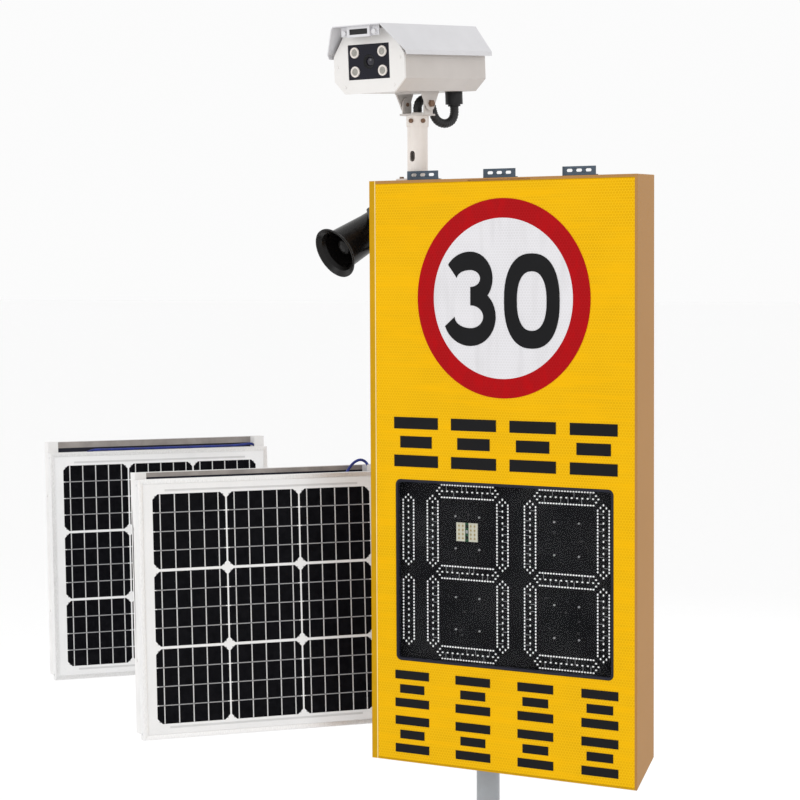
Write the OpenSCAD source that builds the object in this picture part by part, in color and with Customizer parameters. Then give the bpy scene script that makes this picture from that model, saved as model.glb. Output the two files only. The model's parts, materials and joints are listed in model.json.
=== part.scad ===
// Solar speed sign: a yellow sign box on a round pole with a camera on top, a horn at its
// left side and two solar panels on an outrigger arm.
// Origin: pole axis at ground level. X runs along the sign, Y runs away from traffic, Z is up.

/* [Pole and base] */
// Outside diameter of the round pole
pole_d = 48; // [42:1:60]
// Wall thickness of the pole
pole_wall = 3; // [2:0.5:5]
// Side of the square base plate
base_size = 600; // [500:10:900]
// Thickness of the base plate
base_t = 12; // [8:1:20]
// Spacing of the four anchor holes
anchor_pitch = 500; // [400:10:540]
// Diameter of an anchor hole
anchor_d = 18; // [12:1:22]

/* [Sign box] */
// Width of the sign box
sign_w = 620; // [600:5:700]
// Height of the sign box
sign_h = 1200; // [1190:5:1300]
// Depth of the sign box
sign_d = 72; // [70:1:90]
// Height of the box's lower edge above the ground
sign_bottom = 500; // [450:10:800]
// Sheet thickness of the box
sheet = 2; // [1.5:0.5:3]
// Diameter of the speed limit disc
disc_d = 400; // [360:5:420]
// Width of the display window
window_w = 507; // [500:1:512]
// Height of the display window
window_h = 376; // [372:1:380]

/* [Camera] */
// Turn of the camera about its mast, positive to the right
camera_turn = -5; // [-10:1:10]
// Downward tilt of the camera's nose
camera_dip = 3; // [0:1:6]
// Width of the camera housing
cam_w = 176; // [160:2:180]
// Height of the camera housing
cam_h = 124; // [120:2:130]

/* [Horn] */
// Diameter of the horn's mouth
horn_d = 111; // [100:1:114]
// Turn of the horn to the left
horn_turn = 15; // [0:1:20]
// Downward dip of the horn
horn_dip = 27; // [0:1:30]

/* [Solar panels] */
// Side of a square solar panel
panel_size = 545; // [500:5:560]
// Turn of both panels away from the sign's facing
panel_turn = 54; // [30:1:60]
// Backward lean of both panels
panel_lean = 3; // [0:1:10]
// Height of the panels' tilt pins above the ground
panel_pin_z = 806; // [800:1:850]

/* [Hidden] */
$fn = 64;

// sign box, in the pole's frame
sign_x = 100;
sign_front = -120;
sign_rear = sign_front + sign_d;
sign_left = sign_x - sign_w / 2;
sign_right = sign_x + sign_w / 2;
sign_top = sign_bottom + sign_h;
drip_rise = 54;
lip_left = 15;
lip_right = 5;
lip_top = 7;
lip_bottom = 4;
face_t = 3;
fit_gap = 0.3;
face_left = sign_left + lip_left;
face_right = sign_right - lip_right;
face_top = sign_top - lip_top;
face_bottom = sign_bottom + lip_bottom;
ledge_w = 15;
film_t = 0.8;

// display window and what sits behind it
window_x = sign_x + 5;
window_z = sign_bottom + 399;
window_r = 12;
gasket_w = 6;
pane_t = 4;
board_w = 528;
board_h = 400;
board_t = 3;
board_front = sign_front + 16;
segment_l = 150;
segment_w = 31;
segment_t = 3;
digit_pitch = 166;
tens_x = window_x - window_w / 2 + 164;
units_x = window_x - window_w / 2 + 394;
hundreds_x = window_x - window_w / 2 + 22;
radar_x = 17;
radar_z = 984;
radar_w = 50;
radar_h = 38;

// disc, numerals and legend rows
disc_x = sign_x + 8;
disc_z = sign_bottom + 959;
disc_field_r = disc_d / 2 * 0.805;
stroke = 31;

// inside and rear of the box
chassis_y = sign_front + 28;
rail_h = 40;
rail_d = 18;
rail_t = 3;
rail_z = [600, 1400];
clamp_half = 45;
clamp_bolt_x = 35;
saddle_t = 36;
bolt_d = 10;
door_left = 70;
door_right = 370;
door_bottom = 650;
door_top = 1150;
door_overlap = 20;
door_depth = 7.5;
hinge_x = door_right + 27;
hinge_y = sign_rear + 5;
hinge_pin_d = 5;
hinge_z = [740, 1060];
knuckle_h = 20;
lock_x = door_left + 14;
lock_z = 900;

// top brackets
bracket_pitch = 181;
bracket_w = 74;

// camera and mast
mast_x = sign_x - 214;
mast_y = sign_front + 36;
mast_d = 42;
mast_bore = 36;
mast_top = sign_top + 132;
cam_pin_z = mast_top + 24;
cam_front = -155;
cam_back = 120;
cam_floor = 24;
cam_roof = cam_floor + cam_h;
cam_mid = cam_floor + 61;
cam_shell = 2.5;
yoke_half = 29;
cradle_half = 34;
yoke_bore = 30;
gland_x = 30;
gland_y = 86;
conduit_d = 19;

// sunshield, in the camera's frame
shade_gap = 7;
shade_block = 60;
shade_half = 98;
shade_reach = 36;
shade_rear = cam_back + 8;

// horn
horn_x = sign_left - 76;
horn_y = sign_front + 39;
horn_z = sign_bottom + 1072;
horn_mouth_ahead = 45;
horn_pivot = 85;

// solar panels and their arm
frame_d = 25;
frame_w = 10;
laminate_t = 5;
channel_w = 25;
channel_d = 35;
near_tray = [14, -34];
far_tray = [26, -2];
near_box_x = 0;
far_box_x = -185;
pin_back = 70;
post_back = 40;
post_d = 38;
arm_z = 664;
arm_h = 32;
arm_w = 40;
arm_wall = 3;
near_post = [-549, -87];
far_post = [-1201, 385];
arm_angle = 148.1;
arm_dir = [cos(arm_angle), sin(arm_angle)];
arm_side = [-sin(arm_angle), cos(arm_angle)];
arm_len = far_post * arm_dir;
arm_clamp_z = [642, 718, 960];
stay_foot = [330, arm_z + arm_h - 6];
stay_head = [36, 912];
lead_d = 6;

// the camera's conduit, from its gland to the yoke, in the camera's frame
conduit_route = [
    [30, 86, -6], [30, 86, -11], [30, 86, -16], [29.5, 84, -25.5], [28, 79, -34],
    [26, 70.5, -39], [23, 61, -41], [19.5, 51.5, -39], [16.5, 43.5, -34], [14, 38, -25.5],
    [12, 36, -16], [10, 36, -8], [8.5, 33.5, 1], [6.5, 27, 7.5], [4.5, 18, 10], [2.5, 9, 7.5],
    [1, 2.5, 1], [0, 0, -8], [0, 0, -12], [0, 0, -16.4]
];

// the near panel's lead, from its junction box to the right channel, in the panel's frame
near_lead_route = [
    [0, 22, 176], [0, 22, 190], [0, 25, 205], [2, 30, 220], [6, 30, 235], [15, 33, 246],
    [29, 39, 249], [46, 42, 247], [66, 42, 245], [92, 42, 244.5], [130, 42, 244.5],
    [165, 42, 244.5], [185, 42, 250], [200, 42, 263], [212, 42, 280], [224, 42, 292],
    [238, 42, 297], [250, 42, 292], [257, 42, 280], [259, 42, 266], [259, 42, 250],
    [259, 42, 230]
];

// the far panel's lead runs along the whole of its higher tray
far_lead_route = [
    [-185, 22, 176], [-185, 22, 200], [-185, 24, 222], [-184, 28.5, 243], [-182, 31, 257],
    [-176, 32.5, 268], [-165, 33, 274.5], [-150, 33, 276.3], [-120, 33, 276], [-80, 33, 276],
    [-40, 33, 276], [0, 33, 276], [40, 33, 276], [80, 33, 276], [120, 33, 276], [160, 33, 276],
    [200, 33.5, 276.5], [225, 35, 278.5], [241, 38, 279.5], [251, 40.5, 276], [257, 42, 268],
    [259, 42, 258], [259, 42, 244], [259, 42, 230]
];

// ---------- helpers ----------

// box given by its lowest and highest corners
module slab(x0, x1, y0, y1, z0, z1) {
    translate([x0, y0, z0]) cube([x1 - x0, y1 - y0, z1 - z0]);
}

// flat piece standing in the XZ plane, from y to y + t, drawn as seen from the front
module upright(y, t) {
    translate([0, y + t, 0]) rotate([90, 0, 0]) linear_extrude(t) children();
}

// piece extruded along X, drawn in the YZ plane
module along_x(x, t) {
    translate([x, 0, 0]) rotate([90, 0, 90]) linear_extrude(t) children();
}

// cylinder along Y from y0 to y1
module rod_y(d, y0, y1) {
    translate([0, y0, 0]) rotate([-90, 0, 0]) cylinder(d = d, h = y1 - y0);
}

// cylinder along X from x0 to x1
module rod_x(d, x0, x1) {
    translate([x0, 0, 0]) rotate([0, 90, 0]) cylinder(d = d, h = x1 - x0);
}

// rectangle with round corners, centred
module round_rect(w, h, r) {
    square([w - 2 * r, h], center = true);
    square([w, h - 2 * r], center = true);
    for (x = [-1, 1], y = [-1, 1])
        translate([x * (w / 2 - r), y * (h / 2 - r)]) circle(r);
}

// hexagonal bolt head or nut along Y
module hex_y(across, y0, y1) {
    translate([0, y0, 0]) rotate([-90, 0, 0]) cylinder(d = across / cos(30), h = y1 - y0, $fn = 6);
}

// round tube swept along a route of points, with a closed end at each end
module swept_tube(route, d, sides) {
    count = len(route);
    function heading(i) =
        let (a = route[max(i - 1, 0)], b = route[min(i + 1, count - 1)]) (b - a) / norm(b - a);
    function side_of(t) =
        let (s = cross(t, [0.3, 0.2, 0.9])) s / norm(s);
    rings = [
        for (i = [0 : count - 1], k = [0 : sides - 1])
            let (t = heading(i), s = side_of(t), u = cross(s, t), a = 360 * k / sides)
                route[i] + d / 2 * (s * cos(a) + u * sin(a))
    ];
    skin = [
        for (i = [0 : count - 2], k = [0 : sides - 1])
            let (n = (k + 1) % sides)
                [i * sides + k, i * sides + n, (i + 1) * sides + n, (i + 1) * sides + k]
    ];
    first_end = [for (k = [0 : sides - 1]) sides - 1 - k];
    last_end = [for (k = [0 : sides - 1]) (count - 1) * sides + k];
    polyhedron(points = rings, faces = concat(skin, [first_end, last_end]));
}

// ---------- pole and base ----------

module base_plate() {
    rib = 110;
    rib_t = 8;
    color("gray") {
        difference() {
            translate([-base_size / 2, -base_size / 2, 0]) cube([base_size, base_size, base_t]);
            for (x = [-1, 1], y = [-1, 1])
                translate([x * anchor_pitch / 2, y * anchor_pitch / 2, -1])
                    cylinder(d = anchor_d, h = base_t + 2);
        }
        for (turn = [0 : 90 : 270])
            rotate([0, 0, turn]) translate([0, rib_t / 2, 0]) rotate([90, 0, 0])
                linear_extrude(rib_t)
                    polygon([
                        [pole_d / 2 + 0.5, base_t], [pole_d / 2 + rib, base_t],
                        [pole_d / 2 + rib, base_t + 12], [pole_d / 2 + 12, base_t + rib],
                        [pole_d / 2 + 0.5, base_t + rib]
                    ]);
    }
}

module pole() {
    color("lightgray")
        translate([0, 0, base_t]) difference() {
            cylinder(d = pole_d, h = sign_top - 10 - base_t);
            translate([0, 0, -1]) cylinder(d = pole_d - 2 * pole_wall, h = sign_h + sign_bottom);
        }
}

module pole_cap() {
    color("dimgray") {
        translate([0, 0, sign_top - 10]) cylinder(d = pole_d, h = 4);
        translate([0, 0, sign_top - 30]) cylinder(d = pole_d - 2 * pole_wall - 0.2, h = 20);
    }
}

// front half of a pole clamp with bolt holes, centred on height z
module clamp_saddle(z, y0) {
    difference() {
        slab(-clamp_half, clamp_half, y0, -1, z - rail_h / 2, z + rail_h / 2);
        translate([0, 0, z - rail_h]) cylinder(d = pole_d, h = 2 * rail_h);
        for (x = [-1, 1])
            translate([x * clamp_bolt_x, 0, z]) rod_y(bolt_d + 1, y0 - 1, 0);
    }
}

// rear half of a pole clamp
module clamp_strap(z) {
    difference() {
        slab(-clamp_half, clamp_half, 1, 31, z - rail_h / 2, z + rail_h / 2);
        translate([0, 0, z - rail_h]) cylinder(d = pole_d, h = 2 * rail_h);
        for (x = [-1, 1])
            translate([x * clamp_bolt_x, 0, z]) rod_y(bolt_d + 1, 0, 32);
    }
}

// bolt and nut of a clamp whose front half starts at y0
module clamp_bolt(x, z, y0) {
    translate([x, 0, z]) {
        rod_y(bolt_d, y0 - 7, 38);
        hex_y(16, y0 - 7, y0);
        hex_y(16, 31, 38);
    }
}

module rear_rails() {
    rail_back = sign_rear + rail_d;
    color("silver")
        for (z = rail_z) {
            difference() {
                slab(sign_left + 30, sign_right - 30, sign_rear, rail_back,
                    z - rail_h / 2, z + rail_h / 2);
                slab(sign_left + 29, sign_right - 29, sign_rear - 1, rail_back - rail_t,
                    z - rail_h / 2 + rail_t, z + rail_h / 2 - rail_t);
                for (x = [-1, 1])
                    translate([x * clamp_bolt_x, 0, z]) rod_y(20, sign_rear, rail_back + 1);
            }
            clamp_saddle(z, rail_back);
        }
}

module clamp_straps() {
    color("silver") {
        for (z = rail_z)
            clamp_strap(z);
        for (z = arm_clamp_z)
            mirror([0, 1, 0]) clamp_strap(z);
    }
}

module clamp_bolts() {
    color("gainsboro")
        for (x = [-1, 1]) {
            for (z = rail_z)
                clamp_bolt(x * clamp_bolt_x, z, sign_rear + rail_d);
            for (z = arm_clamp_z)
                mirror([0, 1, 0]) clamp_bolt(x * clamp_bolt_x, z, -saddle_t);
        }
}

// ---------- sign box ----------

// side outline of the box, shrunk by an inset; the underside slopes up to the rear
module side_outline(inset) {
    polygon([
        [sign_front + inset, sign_bottom + inset],
        [sign_front + inset, sign_top - inset],
        [sign_rear - inset, sign_top - inset],
        [sign_rear - inset, sign_bottom + drip_rise + inset]
    ]);
}

module housing() {
    slot_w = 144;
    color("burlywood") difference() {
        along_x(sign_left, sign_w) side_outline(0);
        // cavity behind the front ledge
        intersection() {
            along_x(sign_left + sheet, sign_w - 2 * sheet) side_outline(sheet);
            slab(sign_left, sign_right, sign_front + face_t + sheet, sign_rear,
                sign_bottom, sign_top);
        }
        // seat of the front panel
        slab(face_left, face_right, sign_front - 1, sign_front + face_t, face_bottom, face_top);
        // opening behind the front panel
        slab(face_left + ledge_w, face_right - ledge_w, sign_front, sign_front + 2 * face_t,
            face_bottom + ledge_w, face_top - ledge_w);
        // rear door opening
        slab(door_left, door_right, sign_rear - 2 * sheet, sign_rear + 1, door_bottom, door_top);
        // slot in the upper lip
        slab(sign_x - slot_w / 2, sign_x + slot_w / 2, sign_front - 1, sign_front + 2,
            face_top + 1.5, face_top + 4);
        // cable holes below the mast and behind the glands
        translate([mast_x, mast_y, sign_top - 2 * sheet]) cylinder(d = 20, h = 3 * sheet);
        for (i = [0 : 2])
            translate([gland_place(i), 0, gland_row_z]) rod_y(16, sign_rear - 5, sign_rear + 1);
    }
}

gland_row_z = sign_bottom + 140;
function gland_place(i) = sign_left + 45 + 40 * i;

module front_panel() {
    color("gold") difference() {
        slab(face_left + fit_gap, face_right - fit_gap, sign_front, sign_front + face_t,
            face_bottom + fit_gap, face_top - fit_gap);
        upright(sign_front - 1, face_t + 2)
            translate([window_x, window_z]) round_rect(window_w, window_h, window_r);
    }
}

module disc_ring() {
    color("firebrick") upright(sign_front - film_t, film_t)
        translate([disc_x, disc_z]) difference() {
            circle(d = disc_d, $fn = 128);
            circle(disc_field_r, $fn = 128);
        }
}

module disc_field() {
    color("whitesmoke") upright(sign_front - film_t, film_t)
        translate([disc_x, disc_z]) circle(disc_field_r, $fn = 128);
}

// curved stroke between an outer and an inner ellipse; each edge has its own end angle
module arc_stroke(outer, inner, outer_end, inner_end) {
    steps = 20;
    function along(r, a) = [r[0] * cos(a), r[1] * sin(a)];
    polygon(concat(
        [for (i = [0 : steps]) along(outer, outer_end * i / steps + 90 * (1 - i / steps))],
        [for (i = [steps : -1 : 0]) along(inner, inner_end * i / steps + 90 * (1 - i / steps))]
    ));
}

// numeral three, 115 wide and 190 high, with the middle bar ending at mid width
module numeral_three() {
    translate([0, 41]) {
        arc_stroke([52, 54], [23, 17], -90, -90);
        arc_stroke([61, 54], [32, 17], 149, 176);
    }
    translate([0, -36]) mirror([0, 1]) {
        arc_stroke([59, 59], [30, 23], -90, -90);
        arc_stroke([63.5, 59], [37.5, 23], 161, 179);
    }
}

// numeral nought, 127 wide and 189 high, centred
module numeral_nought() {
    difference() {
        scaled_ring(63.5, 94.5);
        scaled_ring(34, 59);
    }
}

// solid oval of the given half sizes, squarer than an ellipse
module scaled_ring(rx, ry) {
    power = 0.85;
    polygon([for (a = [0 : 7.5 : 352.5])
        [rx * sign(cos(a)) * abs(cos(a)) ^ power, ry * sign(sin(a)) * abs(sin(a)) ^ power]]);
}

module disc_numerals() {
    color("black") upright(sign_front - 2 * film_t, film_t) {
        translate([disc_x - 74, disc_z - 1]) numeral_three();
        translate([disc_x + 68, disc_z - 5]) numeral_nought();
    }
}

// generic mark that stands for one character: three bars, the middle one shorter
module legend_block(w, h) {
    bar = h * 0.235;
    for (k = [-1 : 1])
        translate([0, k * (h - bar) / 2])
            square([k == 0 ? w * 0.72 : w, bar], center = true);
}

module legend_marks() {
    color("black") upright(sign_front - film_t, film_t)
        for (i = [0 : 3]) {
            translate([sign_x - 198 + 137.5 * i, sign_bottom + 664]) legend_block(106, 102);
            for (z = [152, 57])
                translate([sign_x - 210 + 146 * i, sign_bottom + z]) legend_block(82, 76);
        }
}

module window_gasket() {
    color("midnightblue") upright(sign_front - 1, 9)
        translate([window_x, window_z]) difference() {
            round_rect(window_w - 2 * fit_gap, window_h - 2 * fit_gap, window_r - fit_gap);
            round_rect(window_w - 2 * gasket_w, window_h - 2 * gasket_w, window_r - gasket_w);
        }
}

module window_pane() {
    color([0.15, 0.15, 0.17, 0.5]) upright(sign_front + 2, pane_t)
        translate([window_x, window_z])
            round_rect(window_w - 2 * gasket_w - 0.2, window_h - 2 * gasket_w - 0.2,
                window_r - gasket_w);
}

module led_board() {
    stud_d = 8;
    color("black") {
        upright(board_front, board_t) translate([window_x, window_z])
            square([board_w, board_h], center = true);
        // studs between the board and the front panel
        for (x = [-1, 1], z = [-1, 1])
            translate([window_x + x * (board_w / 2 - 6), 0, window_z + z * (board_h / 2 - 6)])
                rod_y(stud_d, sign_front + face_t, board_front + board_t);
    }
}

// one lit bar of a digit: a long hexagon, upright
module segment() {
    polygon([
        [0, segment_l / 2], [segment_w / 2, segment_l / 2 - segment_w / 2],
        [segment_w / 2, segment_w / 2 - segment_l / 2], [0, -segment_l / 2],
        [-segment_w / 2, segment_w / 2 - segment_l / 2],
        [-segment_w / 2, segment_l / 2 - segment_w / 2]
    ]);
}

// seven bars of a digit centred at x
module digit(x) {
    color("white") upright(board_front - segment_t, segment_t) translate([x, window_z]) {
        for (side = [-1, 1], half = [-1, 1])
            translate([side * digit_pitch / 2, half * digit_pitch / 2]) segment();
        for (level = [-1 : 1])
            translate([0, level * digit_pitch]) rotate(90) segment();
    }
}

module segments_hundreds() {
    color("white") upright(board_front - segment_t, segment_t)
        for (half = [-1, 1])
            translate([hundreds_x, window_z + half * digit_pitch / 2]) segment();
}

module segments_tens() {
    digit(tens_x);
}

module segments_units() {
    digit(units_x);
}

module radar_module() {
    patch = 6;
    color("beige") {
        upright(board_front - 6, 2) translate([radar_x, radar_z])
            square([radar_w, radar_h], center = true);
        for (x = [-1, 1], z = [-1, 1])
            translate([radar_x + x * 20, 0, radar_z + z * 14])
                rod_y(5, board_front - 4, board_front);
        // antenna patches
        for (i = [-1.5 : 1.5], k = [-1, 1])
            translate([radar_x + i * 10, 0, radar_z + k * 8])
                slab(-patch / 2, patch / 2, board_front - 6.4, board_front - 6,
                    -patch / 2, patch / 2);
    }
}

module board_screws() {
    color("silver")
        for (x = [tens_x, units_x], half = [-1, 1], i = [-1, 1], k = [-1, 1])
            translate([x + i * 28, 0, window_z + half * digit_pitch / 2 + k * 33])
                rod_y(4, board_front - 2.5, board_front);
}

// ---------- inside the box ----------

module chassis_plate() {
    flange = 20;
    color("silver") {
        slab(sign_left + sheet, sign_right - sheet, chassis_y, chassis_y + 2, 600, 1180);
        for (x = [sign_left + sheet, sign_right - sheet - 2])
            slab(x, x + 2, chassis_y, chassis_y + flange, 600, 1180);
    }
}

module control_board() {
    color("darkgreen") {
        slab(160, 340, chassis_y + 8, chassis_y + 9.6, 850, 1010);
        for (x = [170, 330], z = [860, 1000])
            translate([x, 0, z]) rod_y(6, chassis_y + 2, chassis_y + 8);
        slab(190, 220, chassis_y + 9.6, chassis_y + 13, 900, 930);
        slab(250, 300, chassis_y + 9.6, chassis_y + 24, 870, 885);
        slab(250, 300, chassis_y + 9.6, chassis_y + 24, 975, 990);
    }
}

module charge_controller() {
    color("royalblue") {
        slab(190, 340, chassis_y + 2, chassis_y + 26, 680, 780);
        for (i = [0 : 6])
            slab(200 + 20 * i, 206 + 20 * i, chassis_y + 26, chassis_y + 32, 690, 770);
    }
}

module battery_pack() {
    color("dimgray") {
        slab(-170, 110, chassis_y + 2, chassis_y + 38, 665, 845);
        for (x = [-150, 90])
            translate([x, 0, 845]) slab(-8, 8, chassis_y + 10, chassis_y + 26, 0, 12);
    }
}

module horn_amplifier() {
    color("slategray") {
        slab(-160, -40, chassis_y + 2, chassis_y + 30, 960, 1050);
        for (i = [0 : 4])
            slab(-150 + 24 * i, -146 + 24 * i, chassis_y + 30, chassis_y + 35, 970, 1040);
    }
}

switch_x = 120;
switch_z = 1060;
rocker_y = chassis_y + 22;

module power_switch() {
    color("black") difference() {
        slab(switch_x - 16, switch_x + 16, chassis_y + 2, chassis_y + 22, switch_z - 12, switch_z + 12);
        slab(switch_x - 11, switch_x + 11, chassis_y + 8, chassis_y + 23, switch_z - 8, switch_z + 8);
        // pivot holes of the rocker
        translate([switch_x, rocker_y - 6, switch_z]) rod_x(4.16, -14, 14);
    }
}

module power_rocker() {
    color("red") translate([switch_x, rocker_y - 6, switch_z]) {
        rod_x(4, -13.5, 13.5);
        along_x(-10, 20) polygon([[-3, -5.5], [8, -6], [6, 0], [8, 6], [-3, 5.5]]);
    }
}

module cable_glands() {
    color("black")
        for (i = [0 : 2])
            translate([gland_place(i), 0, gland_row_z]) difference() {
                union() {
                    rod_y(15.6, sign_rear - 6, sign_rear);
                    hex_y(24, sign_rear, sign_rear + 6);
                    rod_y(18, sign_rear + 6, sign_rear + 20);
                }
                rod_y(7, sign_rear - 7, sign_rear + 21);
            }
}

// ---------- rear door ----------

module door_gasket() {
    color("black") upright(sign_rear, 5) difference() {
        translate([door_left - 12, door_bottom - 12])
            square([door_right - door_left + 24, door_top - door_bottom + 24]);
        translate([door_left - 4, door_bottom - 4])
            square([door_right - door_left + 8, door_top - door_bottom + 8]);
    }
}

module rear_door() {
    left = door_left - door_overlap;
    right = door_right + door_overlap;
    low = door_bottom - door_overlap;
    high = door_top + door_overlap;
    back = sign_rear + door_depth;
    color("burlywood") {
        difference() {
            slab(left, right, sign_rear + 0.5, back, low, high);
            slab(left + 2, right - 2, sign_rear - 1, back - 2.5, low + 2, high - 2);
            translate([lock_x, 0, lock_z]) rod_y(18.14, sign_rear, back + 1);
        }
        // hinge knuckles with their webs
        for (z = hinge_z)
            difference() {
                union() {
                    translate([hinge_x, hinge_y, z - knuckle_h / 2]) cylinder(d = 10, h = knuckle_h);
                    slab(right - 1, hinge_x, hinge_y, hinge_y + 2.5,
                        z - knuckle_h / 2, z + knuckle_h / 2);
                }
                translate([hinge_x, hinge_y, z - knuckle_h])
                    cylinder(d = hinge_pin_d + 0.16, h = 2 * knuckle_h);
            }
    }
}

module door_hinges() {
    color("silver")
        for (z = hinge_z) {
            translate([hinge_x, hinge_y, z - 30]) cylinder(d = hinge_pin_d, h = 60);
            for (end = [-1, 1])
                translate([0, 0, z + end * (knuckle_h / 2 + 10.5)]) {
                    translate([hinge_x, hinge_y, -10]) cylinder(d = 10, h = 20);
                    slab(hinge_x - 4, hinge_x + 6, sign_rear, hinge_y, -10, 10);
                }
        }
}

module cam_lock() {
    color("silver") translate([lock_x, 0, lock_z]) difference() {
        union() {
            rod_y(18, sign_rear - 4, sign_rear + door_depth);
            rod_y(24, sign_rear + door_depth, sign_rear + door_depth + 4);
            slab(-7, 7, sign_rear - 7, sign_rear - 4, -9, 30);
        }
        hex_y(8, sign_rear + 3, sign_rear + door_depth + 5);
    }
}

// ---------- top brackets ----------

module top_brackets() {
    color("lightsteelblue")
        for (i = [-1 : 1])
            translate([sign_x + i * bracket_pitch, sign_front + 2, sign_top]) difference() {
                union() {
                    slab(-bracket_w / 2, bracket_w / 2, 0, 11, 0, 2);
                    slab(-bracket_w / 2, bracket_w / 2, 0, 2, 0, 18);
                }
                // three slots with round ends
                for (k = [-1 : 1])
                    translate([k * 21, 0, 10]) {
                        slab(-3.5, 3.5, -1, 4, -3, 3);
                        for (end = [-3.5, 3.5])
                            translate([end, 0, 0]) rod_y(6, -1, 4);
                    }
            }
}

// ---------- camera ----------

module camera_mast() {
    color("white") difference() {
        union() {
            translate([mast_x, mast_y, sign_top]) cylinder(d = mast_d, h = mast_top - sign_top);
            translate([mast_x, mast_y, sign_top]) cylinder(d = mast_d + 2, h = 8);
            translate([mast_x, mast_y, sign_top]) slab(-40, 40, -20, 30, 0, 4);
            // collar at the top
            translate([mast_x, mast_y, mast_top - 22]) cylinder(d = mast_d + 4, h = 22);
        }
        translate([mast_x, mast_y, sign_top - 1]) cylinder(d = mast_bore, h = 200);
        // cable slot facing the front
        translate([mast_x, mast_y, sign_top + 49]) for (dz = [-5, 5])
            translate([0, 0, dz]) rod_y(12, -30, 0);
        translate([mast_x, mast_y, sign_top + 49]) slab(-6, 6, -30, 0, -5, 5);
    }
}

module mast_screws() {
    color("silver") {
        for (turn = [0, 60, 180, 240])
            translate([mast_x, mast_y, mast_top - 11]) rotate([0, 0, turn])
                rod_y(9, -mast_d / 2 - 6, -mast_d / 2 - 2);
        for (x = [-1, 1], y = [-1, 1])
            translate([mast_x + x * 32, mast_y + 5 + y * 16, sign_top + 4])
                cylinder(d = 9, h = 4);
    }
}

// the camera's own frame: the tilt pin along X, the nose towards -Y
module camera_frame(dip = camera_dip) {
    translate([mast_x, mast_y, cam_pin_z]) rotate([0, 0, camera_turn]) rotate([dip, 0, 0])
        children();
}

module camera_yoke() {
    seat = mast_top - cam_pin_z;
    color("gainsboro") camera_frame(0) {
        difference() {
            union() {
                translate([0, 0, seat - 24]) cylinder(d = mast_bore - 0.15, h = 26);
                slab(-yoke_half, yoke_half, -22, 22, seat + 0.2, seat + 4);
                translate([0, 0, seat + 0.2]) cylinder(d = 44, h = 3.8);
                // bushing that takes the conduit
                translate([0, 0, seat + 4]) cylinder(d = 22, h = 3);
                for (side = [-1, 1])
                    translate([side * (yoke_half - 1.5) - 1.5, 0, 0]) {
                        slab(0, 3, -14, 14, seat + 0.2, 0);
                        rod_x(28, 0, 3);
                    }
            }
            translate([0, 0, seat - 25]) cylinder(d = yoke_bore, h = 25.2);
            rod_x(8.1, -yoke_half - 1, yoke_half + 1);
        }
    }
}

module camera_cradle() {
    color("gainsboro") camera_frame() {
        difference() {
            for (side = [-1, 1])
                translate([side * (cradle_half - 1.5) - 1.5, 0, 0]) rotate([90, 0, 90])
                    linear_extrude(3) {
                        polygon([[-30, cam_floor], [30, cam_floor], [14, -4], [-14, -4]]);
                        circle(14.5);
                    }
            rod_x(8.1, -cradle_half - 5, cradle_half + 5);
        }
        slab(-cradle_half, cradle_half, -30, 30, cam_floor - 3, cam_floor);
    }
}

// one bolt through each pair of ears
module tilt_bolts() {
    color("silver") camera_frame()
        for (side = [-1, 1])
            translate([side * cradle_half, 0, 0]) rotate([0, 0, side * -90]) {
                rod_y(8, -10, 1);
                hex_y(13, 0, 6);
            }
}

// outline of the camera housing seen from the front, shrunk by an inset
module housing_outline(inset) {
    half = cam_w / 2 - inset;
    polygon([
        [-half, cam_floor + 24], [-half + 26, cam_floor + inset], [half - 26, cam_floor + inset],
        [half, cam_floor + 24], [half, cam_floor + 74], [54 - inset / 2, cam_roof - inset],
        [-54 + inset / 2, cam_roof - inset], [-half, cam_floor + 74]
    ]);
}

module camera_housing() {
    color("antiquewhite") camera_frame() {
        difference() {
            upright(cam_front + 5, cam_back - cam_front - 5) housing_outline(0);
            upright(cam_front, cam_back - cam_front - 4) housing_outline(cam_shell);
            translate([gland_x, gland_y, cam_floor - 1]) cylinder(d = 20, h = 6);
        }
        // roof blocks with the studs that hold the sunshield
        for (y = [cam_front + shade_block, cam_back - shade_block])
            translate([0, y, cam_roof]) {
                slab(-16, 16, -10, 10, -1, shade_gap - 0.2);
                cylinder(d = 5.84, h = shade_gap + 6);
                translate([0, 0, shade_gap + 2.3]) cylinder(d = 13, h = 4);
            }
    }
}

window_half_w = 52.5;
window_half_h = 35;
lamp_x = 35;
lamp_z = 19;

module camera_face_plate() {
    color("white") camera_frame() {
        difference() {
            upright(cam_front, 5) housing_outline(-1.5);
            translate([0, cam_front - 1, cam_mid])
                slab(-window_half_w, window_half_w, 0, 7, -window_half_h, window_half_h);
        }
        for (p = [[-80, cam_mid - 8], [80, cam_mid + 4], [-62, cam_floor + 12], [62, cam_floor + 12]])
            translate([p[0], 0, p[1]]) rod_y(5, cam_front - 1.5, cam_front);
    }
}

module camera_window() {
    color("black") camera_frame() difference() {
        translate([0, cam_front + 1, cam_mid])
            slab(-window_half_w + 0.2, window_half_w - 0.2, 0, 4,
                -window_half_h + 0.2, window_half_h - 0.2);
        translate([0, 0, cam_mid]) rod_y(28.4, cam_front, cam_front + 6);
        for (x = [-1, 1], z = [-1, 1])
            translate([x * lamp_x, 0, cam_mid + z * lamp_z]) rod_y(18.2, cam_front, cam_front + 6);
    }
}

module camera_lamps() {
    color("white") camera_frame()
        for (x = [-1, 1], z = [-1, 1])
            translate([x * lamp_x, 0, cam_mid + z * lamp_z]) difference() {
                union() {
                    rod_y(22, cam_front - 2, cam_front + 1);
                    rod_y(18, cam_front + 1, cam_front + 12);
                }
                rod_y(13, cam_front - 3, cam_front + 5);
            }
}

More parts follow.
